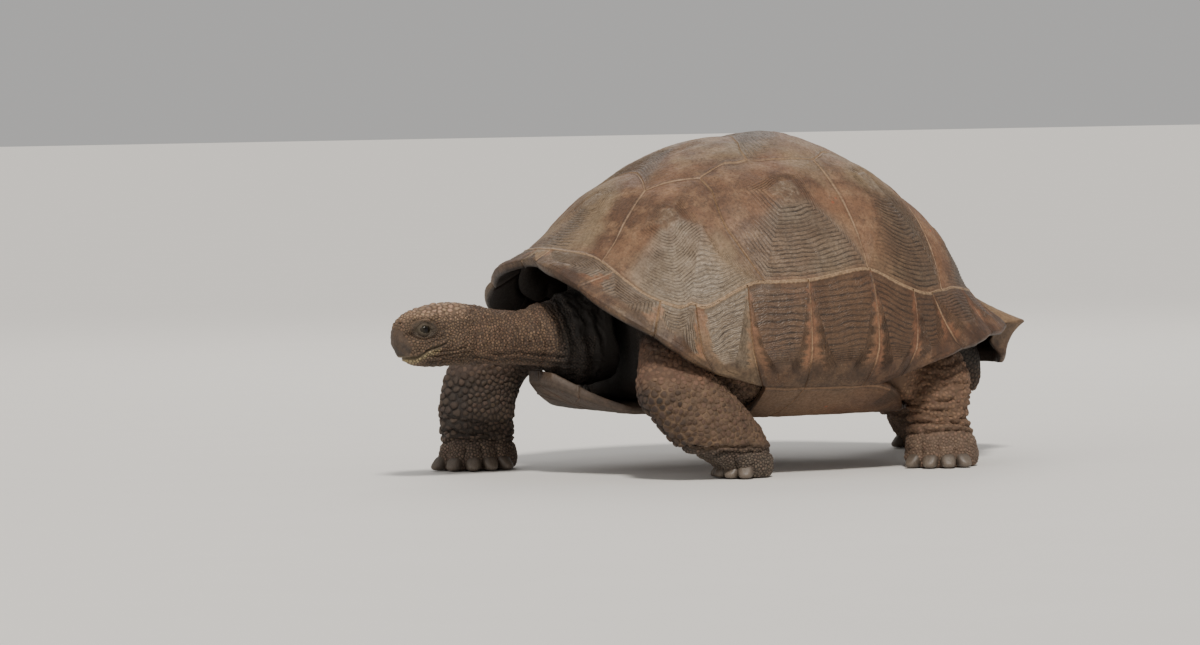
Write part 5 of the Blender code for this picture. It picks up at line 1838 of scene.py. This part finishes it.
@dataclass(frozen=True)
class Markings:
    """Colours of the skin by place, which its scales share."""

    body: Colour = (0.150, 0.098, 0.065)
    # paler crown colour, partly painted light on the top of the head
    crown: Colour = (0.280, 0.180, 0.112)
    cheek: Colour = (0.130, 0.081, 0.047)
    beak: Colour = (0.030, 0.021, 0.015)
    lip: Colour = (0.330, 0.262, 0.140)
    socket: Colour = (0.050, 0.039, 0.027)
    lid: Colour = (0.062, 0.047, 0.028)
    throat: Colour = (0.150, 0.088, 0.050)
    # painted shade for wrinkle grooves and the undersides of neck and jaw
    fold: Colour = (0.060, 0.036, 0.022)
    elbow: Colour = (0.158, 0.081, 0.047)
    # the darker front scales of the forelegs, with painted shade
    pebble_and_shade: Colour = (0.036, 0.019, 0.011)
    grey: Colour = (0.115, 0.090, 0.068)
    hind: Colour = (0.180, 0.101, 0.057)
    # painted shade over the right foreleg
    far: Colour = (0.048, 0.032, 0.022)
    mail: Colour = (0.094, 0.054, 0.033)
    toes: Colour = (0.165, 0.113, 0.080)
    # painted shade for the chest and the skin under the shell
    painted_shade: Colour = (0.030, 0.021, 0.015)
    # painted shade inside the nostril
    hole: Colour = (0.012, 0.009, 0.007)
    net: Colour = (0.185, 0.116, 0.066)

    def at(self, points: Array, normals: Array, face: Face) -> tuple[Array, Array]:
        """The colour at each place, and how horny the surface is there.

        Args:
            points: Places on the skin.
            normals: Its normals.
            face: Where the features of the head are.

        Returns:
            Colours, and one share of horn per place.
        """
        side, u, z = body_axes(points)
        x = np.abs(side)
        broad = ripple(points, 0.09, 40)
        colour = np.tile(np.array(self.body), (len(points), 1))

        def lay(value: Colour, share: Array) -> None:
            """Lays a colour over the places by a share."""
            nonlocal colour
            share = np.clip(share, 0, 1)[:, None]
            colour = colour * (1 - share) + np.array(value) * share

        # neck and throat, with painted shade in the wrinkle grooves and along the underside of the neck
        head = ease(u, HEAD_FROM, -0.685)
        neck = (x < 0.11) * ease(u, -0.42, -0.47) * (1 - head)
        lay(self.throat, neck * 0.8)
        upright, drape = neck_waves(points)
        low = ease(z, 0.262, 0.232)
        crease_shade = 0.60 * (1 - low) * ease(upright, 0.1, -0.9) + 0.75 * low * ease(drape, 0.3, -0.8)
        lay(self.fold, neck * crease_shade)
        lay(self.fold, neck * ease(z, 0.245, 0.215) * 0.5)
        # painted shade on the chest at the base of the neck, under the front of the shell
        lay(self.painted_shade, (x < 0.12) * ease(u, -0.515, -0.470) * ease(z, 0.12, 0.20))
        # head: cheek, crown with painted light on its top, beak, lips, eye and nostril, with painted shade
        # under the jaw and in the nostril
        lay(self.cheek, head)
        # the crown paler where the head faces up: its own colour and painted light
        lay(self.crown, head * ease(z + 0.012 * broad, 0.300, 0.328) * ease(normals[:, 2], 0.1, 0.6))
        lip = face.above_mouth(u, z)
        horn = u + 0.45 * np.abs(lip - 0.012) + 0.004 * broad
        beak = head * ease(horn, -0.776, -0.793) * ease(z, 0.312, 0.290)
        mottle = 0.84 + 0.16 * ripple(points, 0.016, 45)
        lay(self.beak, beak * mottle * (0.70 + 0.30 * ease(lip, 0.040, 0.018)))
        on_mouth = head * ease(u, -0.722, -0.735)
        # painted shade under the lower jaw
        lay(self.fold, head * ease(z + 0.15 * (u + 0.74), 0.236, 0.226) * ease(u, -0.775, -0.750) * 0.8)
        lay(self.lip, on_mouth * bell(lip + 0.0072, 0.0060) * 0.9 * ease(u, -0.730, -0.742))
        lay(self.lip, on_mouth * bell(lip - 0.0022, 0.0013) * 0.5)
        eye = face.from_eye(u, z)
        lay(self.crown, head * bell(np.hypot((u + 0.752) / 1.6, z - 0.3200), 0.0085) * 0.8)
        lay(self.socket, head * ease(eye, 1.55, 1.05) * 0.75)
        lay(self.lid, head * ease(eye, 0.95, 0.80) * 0.85)
        # the nostril painted near black, as the shade inside it
        lay(self.hole, head * ease(face.from_nostril(x, u, z), 0.0045, 0.0022))
        # legs, fore and hind, with painted shade on the front of the forelegs and over the whole right
        # foreleg
        legs = (x > 0.13) * ease(z, 0.34, 0.30)
        fore, hind = legs * (u < 0), legs * (u > 0.0)
        lay(self.elbow, legs * ease(z, 0.150, 0.195) * (0.75 + 0.25 * broad))
        lay(self.mail, fore * ease(normals[:, 0] * np.sign(side), 0.0, 0.4) * ease(z, 0.205, 0.165))
        # the big scales on the front of the forelegs: their own darker colour, with painted shade on this
        # forward- and down-facing side
        lay(self.pebble_and_shade, fore * ease(-normals[:, 1], 0.20, 0.60) * ease(z, 0.195, 0.160) * 0.9)
        # painted shade over the right foreleg
        lay(self.far, fore * (side < 0) * 0.8)
        lay(self.grey, legs * ease(z, 0.075, 0.035) * 0.8)
        lay(self.toes, fore * (side < 0) * ease(z, 0.080, 0.045) * 0.75)
        lay(self.hind, hind * 0.85)
        lay(self.toes, hind * ease(z, 0.10, 0.05) * 0.7)
        # painted shade in the hollow of the shell
        lay(self.painted_shade, (x < 0.20) * (np.abs(u) < 0.47) * ease(z, 0.17, 0.24) * ease(x, 0.22, 0.15))
        lay(self.painted_shade, ease(z, 0.235, 0.285) * (u > -0.46) * (x > 0.10))
        colour *= (1 + 0.12 * broad)[:, None]
        return np.clip(colour, 0.004, 1), np.clip(beak, 0, 1)

    def between(self, tint: Array, points: Array, normals: Array, horny: Array, face: Face) -> Array:
        """The colour between the scales: darker, painted shade in the gaps, but a pale net on the outer side
        of the forelegs.

        Args:
            tint: Colour of the skin at each place.
            points: The places.
            normals: Normals there.
            horny: Share of horn, which has no scales.
            face: Where the features of the head are.

        Returns:
            Colours.
        """
        x, u, z = body_axes(points)
        legs = (np.abs(x) > 0.19) & (u < FORE_LEGS_TO)
        outer = ease(normals[:, 0] * np.sign(x), 0.05, 0.45)
        net = legs * outer * ease(z, 0.050, 0.075) * ease(z, 0.210, 0.175)
        pale = np.array(self.net)
        keep = np.maximum(horny, ease(face.from_eye(u, z), 1.15, 0.95) * (u < -0.6))[:, None]
        # painted shade in the gaps between scales, lighter on the hind legs and high up the legs
        groove = 0.42 + 0.30 * ((np.abs(x) > 0.12) * np.maximum(u > 0.1, ease(z, 0.165, 0.200)))[:, None]
        dark = tint * (groove + (1 - groove) * keep)
        # the pale net fainter on the right foreleg, part of its painted shade
        net = net * np.where(x < 0, 0.35, 1.0)
        return dark + (pale - dark) * (0.9 * net * (0.7 + 0.3 * ripple(points, 0.04, 44)))[:, None]


# ---------------------------------------------------------------- scales
@dataclass
class Region:
    """A stretch of skin whose scales make one piece, with the axis that its unwrap turns round."""

    name: str
    holds: Callable[[Array], Array]
    axis: Callable[[Array], tuple[Array, Array]]


@dataclass
class ScaleCoat:
    """Horny scales over the skin, each a low plate fitted to its neighbours."""

    skin: Object
    face: Face
    markings: Markings
    seed: int = 7
    gap: float = 0.00022
    corners: int = 9
    trials: float = 9.0
    apart: float = 0.84
    furthest: float = 0.72
    patch: float = 0.0015
    levels: tuple[Place, ...] = ((1.0, -0.0004, 0.0), (0.88, 0.0, 0.55), (0.62, 0.0, 0.95))
    surface: BVHTree = field(init=False)

    def size(self, points: Array, normals: Array) -> tuple[Array, Array]:
        """How wide the scales are and how high they stand at each place.

        Args:
            points: Places on the skin.
            normals: Its normals.

        Returns:
            Widths, 0 where there are no scales, and heights.
        """
        x, u, z = body_axes(points)
        x = np.abs(x)
        wide, high = np.full(len(points), 0.0080), np.full(len(points), 0.0008)

        def lay(width: float, height: float, share: Array) -> None:
            """Lays a size of scale over the places by a share."""
            nonlocal wide, high
            share = np.clip(share, 0, 1)
            wide, high = wide + (width - wide) * share, high + (height - high) * share

        head = ease(u, HEAD_FROM, -0.670)
        neck = (x < 0.115) * (u < -0.42) * (1 - head)
        lay(0.0054, 0.0007, neck)
        lay(0.0052, 0.0009, head)
        top = ease(normals[:, 2], 0.35, 0.75) * ease(z, 0.315, 0.328)
        lay(0.0115, 0.0013, head * top)
        lay(0.0060, 0.0013, head * ease(u, -0.765, -0.780))
        eye = self.face.from_eye(u, z)
        lay(0.0030, 0.0006, head * ease(eye, 2.0, 1.3))
        legs = (x > 0.125) * (z < 0.32)
        front = legs * (u < FORE_LEGS_TO)
        hind = legs * (u > HIND_LEGS_FROM)
        lay(0.0100, 0.0016, front)
        ahead = ease(-normals[:, 1], 0.30, 0.65) * ease(z, 0.205, 0.180) * ease(z, 0.060, 0.075)
        lay(0.0150, 0.0034, front * ahead)
        lay(0.0100, 0.0004, front * ease(z, 0.185, 0.215))
        lay(0.0076, 0.0006, hind)
        lay(0.0056, 0.0011, legs * ease(z, 0.068, 0.052))
        bare = (z < 0.004) | (head * ease(eye, 1.02, 0.98) > 0.5)
        _, horny = self.markings.at(points, normals, self.face)
        bare |= horny > 0.45
        on_lips = np.abs(self.face.above_mouth(u, z)) < 0.0045
        bare |= (head > 0.5) & on_lips & (u < self.face.mouth_end)
        bare |= (z > 0.27) & (u > -0.46) | (np.abs(u) < 0.13) & (z > 0.09) | (x < 0.11) & (np.abs(u) < 0.38)
        return np.where(bare, 0.0, wide), high

    def roots(self, rng: np.random.Generator, holds: Callable[[Array], Array]) -> tuple[Array, Array, Array]:
        """Even places for the scales of a region.

        Args:
            rng: Seeded source of chance.
            holds: Which places belong to the region.

        Returns:
            Places, normals and widths.
        """
        points, normals = read_mesh(self.skin)
        mesh = self.skin.data
        tris = np.empty(len(mesh.polygons) * 3, np.int32)
        mesh.polygons.foreach_get("vertices", tris)
        tris = tris.reshape(-1, 3)
        a, b, c = points[tris[:, 0]], points[tris[:, 1]], points[tris[:, 2]]
        centre = (a + b + c) / 3
        area = np.linalg.norm(np.cross(b - a, c - a), axis=1) / 2
        middle_normal = normals[tris].mean(axis=1)
        wide, _ = self.size(centre, middle_normal)
        wanted = np.where((wide > 0) & holds(centre), self.trials * area / np.maximum(wide, 1e-3) ** 2, 0)
        number = (wanted + rng.random(len(wanted))).astype(int)
        pick = np.repeat(np.arange(len(tris)), number)
        s, t = rng.random((2, len(pick)))
        over = s + t > 1
        s[over], t[over] = 1 - s[over], 1 - t[over]
        trial = a[pick] + (b - a)[pick] * s[:, None] + (c - a)[pick] * t[:, None]
        near = wide[pick]
        tree = self.tree(trial)
        free = np.ones(len(trial), bool)
        kept = []
        for i in rng.permutation(len(trial)):
            if not free[i]:
                continue
            kept.append(i)
            for _, other, _ in tree.find_range(trial[i], near[i] * self.apart):
                free[other] = False
        chosen = trial[kept]
        sums, tally = np.zeros((len(kept), 3)), np.zeros(len(kept))
        tree = self.tree(chosen)
        home = np.array([tree.find(place)[1] for place in trial])
        np.add.at(sums, home, trial)
        np.add.at(tally, home, 1)
        chosen = sums / np.maximum(tally, 1)[:, None]
        return self.snap(chosen) + (near[kept],)

    def tree(self, points: Array) -> KDTree:
        """A search tree over places.

        Args:
            points: The places.

        Returns:
            The tree, whose indices are their rows.
        """
        made = KDTree(len(points))
        for i, place in enumerate(points):
            made.insert(place, i)
        made.balance()
        return made

    def snap(self, points: Array) -> tuple[Array, Array]:
        """The nearest places on the skin and the normals there."""
        found = [self.surface.find_nearest(place) for place in points]
        return np.array([f[0] for f in found]), np.array([f[1] for f in found])

    def plates(self, points: Array, normals: Array, wide: Array, high: Array,
               rng: np.random.Generator) -> tuple[Array, Array, Array]:
        """Low plates that fill the skin round their roots.

        Args:
            points: Roots on the skin.
            normals: Normals there.
            wide: Widths.
            high: Heights.
            rng: Seeded source of chance.

        Returns:
            Vertices as (scale, vertex, xyz), triangles of one scale, and the share of height of each vertex.
        """
        count, sides = len(points), self.corners
        tree = self.tree(points)
        near = np.array([[j for _, j, _ in tree.find_n(place, 15)][1:] for place in points])
        away = points[near] - points[:, None]
        full = np.linalg.norm(away, axis=2)
        flat = away - normals[:, None] * (away * normals[:, None]).sum(axis=2, keepdims=True)
        flat *= (full / np.maximum(np.linalg.norm(flat, axis=2), 1e-7))[..., None]
        alike = (normals[near] * normals[:, None]).sum(axis=2) > 0.1
        side = np.cross(normals, (0.31, 0.17, 0.93))
        side /= np.linalg.norm(side, axis=1, keepdims=True)
        other = np.cross(normals, side)
        turn = 2 * np.pi * (np.arange(sides)[None] + rng.random((count, 1))) / sides
        ways = np.cos(turn)[..., None] * side[:, None] + np.sin(turn)[..., None] * other[:, None]
        along = np.einsum("nkc,njc->nkj", ways, flat)
        halfway = (full**2 / 2)[:, None] / np.maximum(along, 1e-5)
        limit = np.where((along > 1e-5) & alike[:, None], halfway, 1.0)
        reach = np.minimum(limit.min(axis=2), wide[:, None] * self.furthest)
        reach = np.maximum(reach - self.gap - 0.022 * wide[:, None], reach * 0.6)
        edge = points[:, None] + ways * reach[..., None]
        foot, foot_normal = self.snap(edge.reshape(-1, 3))
        foot, foot_normal = foot.reshape(count, sides, 3), foot_normal.reshape(count, sides, 3)
        rise = high * rng.uniform(0.75, 1.2, count)
        rings = []
        for share, sink, lift in self.levels:
            blend = foot_normal * share + normals[:, None] * (1 - share)
            blend /= np.maximum(np.linalg.norm(blend, axis=2, keepdims=True), 1e-6)
            arch = self.arch(points, normals, foot, share)
            rings.append(arch + blend * ((lift * rise)[:, None, None] if sink == 0 else sink))
        hub = points + normals * rise[:, None]
        vertices = np.concatenate([*rings, hub[:, None]], axis=1)
        ring = np.arange(sides)
        after = (ring + 1) % sides
        faces = []
        for k in range(2):
            low, top = k * sides, (k + 1) * sides
            faces += [np.stack([low + ring, low + after, top + after], axis=1),
                      np.stack([low + ring, top + after, top + ring], axis=1)]
        faces.append(np.stack([2 * sides + ring, 2 * sides + after, np.full(sides, 3 * sides)], axis=1))
        share = np.concatenate([np.zeros(sides), np.full(sides, 0.42), np.ones(sides + 1)])
        return vertices, np.concatenate(faces), share

    def arch(self, points: Array, normals: Array, foot: Array, share: float) -> Array:
        """Places part of the way from the roots to their rims, bent along with the skin."""
        run = foot - points[:, None]
        drop = (run * normals[:, None]).sum(axis=2, keepdims=True) * normals[:, None]
        return points[:, None] + (run - drop) * share + drop * share**2

    def build_region(self, region: Region, finish: Material) -> int:
        """Makes the scales of one region.

        Args:
            region: Where they are.
            finish: Their material.

        Returns:
            How many scales there are.
        """
        rng = np.random.default_rng(self.seed + len(region.name))
        points, normals, wide = self.roots(rng, region.holds)
        _, high = self.size(points, normals)
        vertices, one, share = self.plates(points, normals, wide, high, rng)
        count, each = vertices.shape[:2]
        faces = (one[None] + (np.arange(count) * each)[:, None, None]).reshape(-1, 3)
        made = mesh_object("scales_" + region.name, vertices.reshape(-1, 3), [faces], finish)
        tint, _ = self.markings.at(points, normals, self.face)
        tint *= rng.uniform(0.72, 1.32, (count, 1)) * rng.uniform(0.96, 1.04, (count, 3))
        base, horny = self.markings.at(points, normals, self.face)
        # the foot of each scale takes the colour between the scales, with its painted shade
        rim = self.markings.between(base, points, normals, horny, self.face)
        blend = np.clip(share * 1.15, 0, 1)[None, :, None]
        colour_attribute(made, "tint", (rim[:, None] * (1 - blend) + tint[:, None] * blend).reshape(-1, 3))
        vector_attribute(made, "hide", np.tile((0.15, 0.0, 0.0), (count * each, 1)))
        self.unwrap(made, region, points, vertices)
        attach(made, "root")
        return count

    def unwrap(self, made: Object, region: Region, points: Array, vertices: Array) -> None:
        """Gives each scale a small patch at its root's place on the limb's own unwrap.

        Args:
            made: The scales.
            region: Their region.
            points: Their roots.
            vertices: Their vertices as (scale, vertex, xyz).
        """
        turn, along = region.axis(points)
        low, top = along.min(), along.max()
        root = np.stack([0.01 + 0.98 * (turn / (2 * np.pi) + 0.5),
                         0.01 + 0.98 * (along - low) / (top - low)], axis=1)
        local = vertices - vertices[:, -1:]
        spread = np.abs(local).max(axis=(1, 2), keepdims=True) + 1e-6
        flat = np.stack([(local[..., 0] + local[..., 1]) * 0.5, local[..., 2]], axis=-1) / spread
        place = root[:, None] + flat * self.patch
        layer = made.data.uv_layers.new(name="OFBake")
        corner = np.empty(len(made.data.loops), np.int32)
        made.data.loops.foreach_get("vertex_index", corner)
        spots = place.reshape(-1, 2)[corner]
        layer.data.foreach_set("uv", np.ascontiguousarray(spots, np.float32).reshape(-1))

    def regions(self) -> list[Region]:
        """Head, neck, and each leg."""
        def around(cx: float, cu: float) -> Callable[[Array], tuple[Array, Array]]:
            """Turns round an upright axis."""
            return lambda at: (np.arctan2(at[:, 0] - cx, at[:, 1] - SHELL_Y - cu), at[:, 2])

        def level(at: Array) -> tuple[Array, Array]:
            """Turns round the axis of the neck."""
            return np.arctan2(at[:, 0], at[:, 2] - 0.272), at[:, 1]

        found = [
            Region("head", lambda at: (at[:, 1] - SHELL_Y < HEAD_FROM) & (np.abs(at[:, 0]) < 0.12), level),
            Region("neck", lambda at: (at[:, 1] - SHELL_Y >= HEAD_FROM) & (at[:, 1] - SHELL_Y < -0.42)
                   & (np.abs(at[:, 0]) < 0.115) & (at[:, 2] > 0.15), level),
        ]
        for name, leg in LEGS.items():
            (cx, cu, _), *_ = leg.rings[3]
            sign = 1 if name.endswith("left") else -1
            front = name.startswith("leg_front")

            def holds(at: Array, sign: int = sign, front: bool = front) -> Array:
                """Whether places are on this leg."""
                x, u, z = body_axes(at)
                along = u < FORE_LEGS_TO if front else u > HIND_LEGS_FROM
                return (x * sign > 0.115) & along & (z < 0.30)

            found.append(Region(name[4:], holds, around(cx, cu)))
        tail = Region("tail", lambda at: (np.abs(at[:, 0]) < 0.08) & (at[:, 1] - SHELL_Y > 0.36)
                      & (at[:, 2] < 0.26), around(0.0, 0.44))
        return found + [tail]

    def build(self, finish: Material) -> None:
        """The scales of all regions.

        Args:
            finish: Their material.
        """
        bm = bmesh.new()
        bm.from_mesh(self.skin.data)
        self.surface = BVHTree.FromBMesh(bm)
        bm.free()
        for region in self.regions():
            LOG.info("scales on %s: %d", region.name, self.build_region(region, finish))


@dataclass
class Claws:
    """The blunt claws of the four feet."""

    length: float = 0.0175
    root: float = 0.016
    half_width: float = 0.0150
    middle: float = 0.0165
    half_height: float = 0.0160
    tip_drop: float = 0.0088
    tip_thinning: float = 0.0085
    ridge: float = 0.0005
    clear: float = 0.0006

    def build_one(self, name: str, foot: Foot, way: float, finish: Material) -> Object:
        """One claw.

        Args:
            name: Its name.
            foot: The foot it grows from.
            way: Its bearing in radians.
            finish: Its material.

        Returns:
            The claw.
        """
        (cx, cu, _), a, b, _ = foot.rings[-2]
        ahead = np.array((math.sin(way), -math.cos(way), 0.0))
        side = np.array((math.cos(way), math.sin(way), 0.0))
        reach = 0.99 / math.hypot(ahead[0] / a, ahead[1] / b)
        root = np.array((cx, cu + SHELL_Y, 0.0)) + ahead * reach
        deselect()
        bpy.ops.mesh.primitive_uv_sphere_add(segments=24, ring_count=16, radius=1.0)
        made = bpy.context.object
        made.name = made.data.name = name
        points, _ = read_mesh(made)
        along, across, up = points[:, 0], points[:, 1], points[:, 2]
        wide = self.half_width * (1 - 0.22 * ease(along, 0.0, 1.0))
        forward = np.where(along > 0, self.length, self.root) * np.abs(along) ** 0.72 * np.sign(along)
        squared = np.sign(across) * np.abs(across) ** 0.72
        slope, domed = ease(along, -0.5, 1.0), np.sign(up) * np.abs(up) ** 0.85
        height = (self.middle - self.tip_drop * slope
                  + domed * (self.half_height - self.tip_thinning * slope))
        ridge = self.ridge * np.sin(across * 14) * ease(up, 0.0, 0.5)
        height = np.maximum(height + ridge, self.clear)
        placed = root + forward[:, None] * ahead + (squared * wide)[:, None] * side
        placed[:, 2] = height
        vector_attribute(made, "aim", np.stack([along, across, up], axis=1))
        write_points(made, placed)
        made.data.shade_smooth()
        made.data.materials.append(finish)
        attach(made, "root")
        return made

    def build(self, finish: Material) -> None:
        """All claws.

        Args:
            finish: Their material.
        """
        total = 0
        for leg, foot in LEGS.items():
            for i, way in enumerate(foot.bearings()):
                self.build_one(f"claw_{leg[4:]}_{i + 1}", foot, way, finish)
                total += 1
        LOG.info("claws: %d", total)


@dataclass
class Eyes:
    """The two eyes behind their lids."""

    face: Face
    cornea: float = 0.045

    def build(self, finish: Material) -> None:
        """Both eyes, each a ball with a raised cornea.

        Args:
            finish: Their material.
        """
        for label, side in (("left", 1), ("right", -1)):
            deselect()
            bpy.ops.mesh.primitive_uv_sphere_add(segments=48, ring_count=32, radius=1.0)
            made = bpy.context.object
            made.name = made.data.name = f"eye_{label}_wet"
            points, _ = read_mesh(made)
            facing = points[:, 0] * side
            aim = np.stack([facing, points[:, 1], points[:, 2]], axis=1)
            swell = 1 + self.cornea * ease(facing, 0.70, 0.98)
            centre = np.array((side * self.face.eye[0], self.face.eye[1] + SHELL_Y, self.face.eye[2]))
            vector_attribute(made, "aim", aim)
            write_points(made, centre + points * (self.face.ball * swell)[:, None])
            made.data.shade_smooth()
            made.data.materials.append(finish)
            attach(made, "root")
            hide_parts(f"eye_{label}")
        LOG.info("eyes: 2")


@dataclass
class Studio:
    """Floor, light and camera."""

    swing: float = 28.0
    distance: float = 10.0
    height: float = 0.695
    lens: float = 151.5
    pan: float = 1.910
    dip: float = 2.343
    roll: float = 0.96
    floor: float = 300.0
    surround: float = 0.46

    def build(self, finish: Material) -> None:
        """The floor, three soft lights and a pale surround.

        Args:
            finish: The floor's material.
        """
        deselect()
        bpy.ops.mesh.primitive_grid_add(x_subdivisions=8, y_subdivisions=8, size=self.floor,
                                        location=(0, 0, -0.0006))
        floor = bpy.context.object
        floor.name = "studio_floor"
        deselect()
        floor.select_set(True)
        bpy.ops.object.transform_apply(location=True, rotation=True, scale=True)
        floor.data.materials.append(finish)
        world = bpy.context.scene.world or bpy.data.worlds.new("studio")
        bpy.context.scene.world = world
        world.use_nodes = True
        back = world.node_tree.nodes["Background"]
        back.inputs[0].default_value = (1.0, 0.985, 0.965, 1)
        back.inputs[1].default_value = self.surround
        self.sky("key", (4.3, -1.5, 5.6), 0.15, 3.4, (1.0, 0.955, 0.89))
        self.light("fill", (1.5, -6.0, 3.0), 4.0, 70.0, (1.0, 0.97, 0.94))
        self.light("back", (-4.5, 2.5, 4.5), 4.0, 90.0, (1.0, 0.98, 0.95))

    def sky(self, name: str, at: Place, wide: float, power: float, colour: Colour) -> None:
        """A light that is the same all over the floor, as from a large lamp far away.

        Args:
            name: Its name.
            at: A place that it comes from.
            wide: How wide it looks, in radians, which softens its shadows.
            power: Its strength in watts on each square metre.
            colour: Its colour.
        """
        lamp = bpy.data.lights.new(name, "SUN")
        lamp.angle, lamp.energy, lamp.color = wide, power, colour
        self.hang(name, lamp, at)

    def light(self, name: str, at: Place, size: float, power: float, colour: Colour) -> None:
        """A square soft light that faces the animal.

        Args:
            name: Its name.
            at: Its place.
            size: Its side.
            power: Its strength in watts.
            colour: Its colour.
        """
        lamp = bpy.data.lights.new(name, "AREA")
        lamp.shape, lamp.size, lamp.energy, lamp.color = "SQUARE", size, power, colour
        self.hang(name, lamp, at)

    def hang(self, name: str, lamp: bpy.types.Light, at: Place) -> None:
        """Puts a lamp at its place, facing the animal.

        Args:
            name: Its name.
            lamp: The lamp.
            at: Its place.
        """
        made = bpy.data.objects.new(name, lamp)
        made.location = at
        made.rotation_euler = (Vector((0, 0, 0.25)) - Vector(at)).to_track_quat("-Z", "Y").to_euler()
        bpy.context.scene.collection.objects.link(made)

    def turned(self, one: Vector, other: Vector, degrees: float) -> tuple[Vector, Vector]:
        """Both axes, turned in their plane."""
        c, s = math.cos(math.radians(degrees)), math.sin(math.radians(degrees))
        return one * c - other * s, other * c + one * s

    def camera(self) -> None:
        """A long lens at the height of the shell's crown, slightly tilted."""
        turn = math.radians(self.swing)
        ahead = Vector((-math.cos(turn), math.sin(turn), 0))
        right = Vector((math.sin(turn), math.cos(turn), 0))
        up = Vector((0, 0, 1))
        ahead, right = self.turned(ahead, right, self.pan)
        ahead, up = self.turned(ahead, up, self.dip)
        right, up = self.turned(right, up, self.roll)
        lens = bpy.data.cameras.new("view")
        lens.lens, lens.sensor_width, lens.clip_end = self.lens, 36.0, 250.0
        made = bpy.data.objects.new("view", lens)
        spot = Vector((self.distance * math.cos(turn), SHELL_Y - self.distance * math.sin(turn), self.height))
        made.matrix_world = Matrix((
            (right.x, up.x, -ahead.x, spot.x), (right.y, up.y, -ahead.y, spot.y),
            (right.z, up.z, -ahead.z, spot.z), (0, 0, 0, 1)))
        bpy.context.scene.collection.objects.link(made)
        bpy.context.scene.camera = made


def dress_skin(skin: Object, face: Face, markings: Markings, finish: Material) -> None:
    """Gives the skin its colours and its material, and lets it stand in for the solids of the flesh.

    Args:
        skin: The skin.
        face: Where the features of the head are.
        markings: Its colours.
        finish: Its material.
    """
    points, normals = read_mesh(skin)
    tint, horny = markings.at(points, normals, face)
    # the skin itself takes the colour between the scales, with its painted shade
    colour_attribute(skin, "tint", markings.between(tint, points, normals, horny, face))
    vector_attribute(skin, "hide", np.stack([horny, np.ones(len(points)), np.zeros(len(points))], axis=1))
    skin.data.materials.append(finish)
    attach(skin, "root")
    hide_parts("head", "lower_jaw", "neck", "trunk", "tail", *LEGS)


def main() -> None:
    """Builds and dresses every sub-assembly in order."""
    dome, face, markings = Dome(), Face(), Markings()
    horn = HornFinish().material()
    hide = SkinFinish().material()
    plastron = Plastron(dome)
    Carapace(dome).build(horn, RIM_HORN.material())
    plastron.build(BELLY_HORN.material(), LIP_HORN.material())
    skin = Flesh(dome, plastron, face).build()
    dress_skin(skin, face, markings, hide)
    ScaleCoat(skin, face, markings).build(hide)
    Eyes(face).build(EyeFinish().material())
    Claws().build(ClawFinish().material())
    studio = Studio()
    studio.build(FloorFinish().material())
    studio.camera()
    deselect()
    LOG.info("done")


if __name__ == "__main__":
    main()
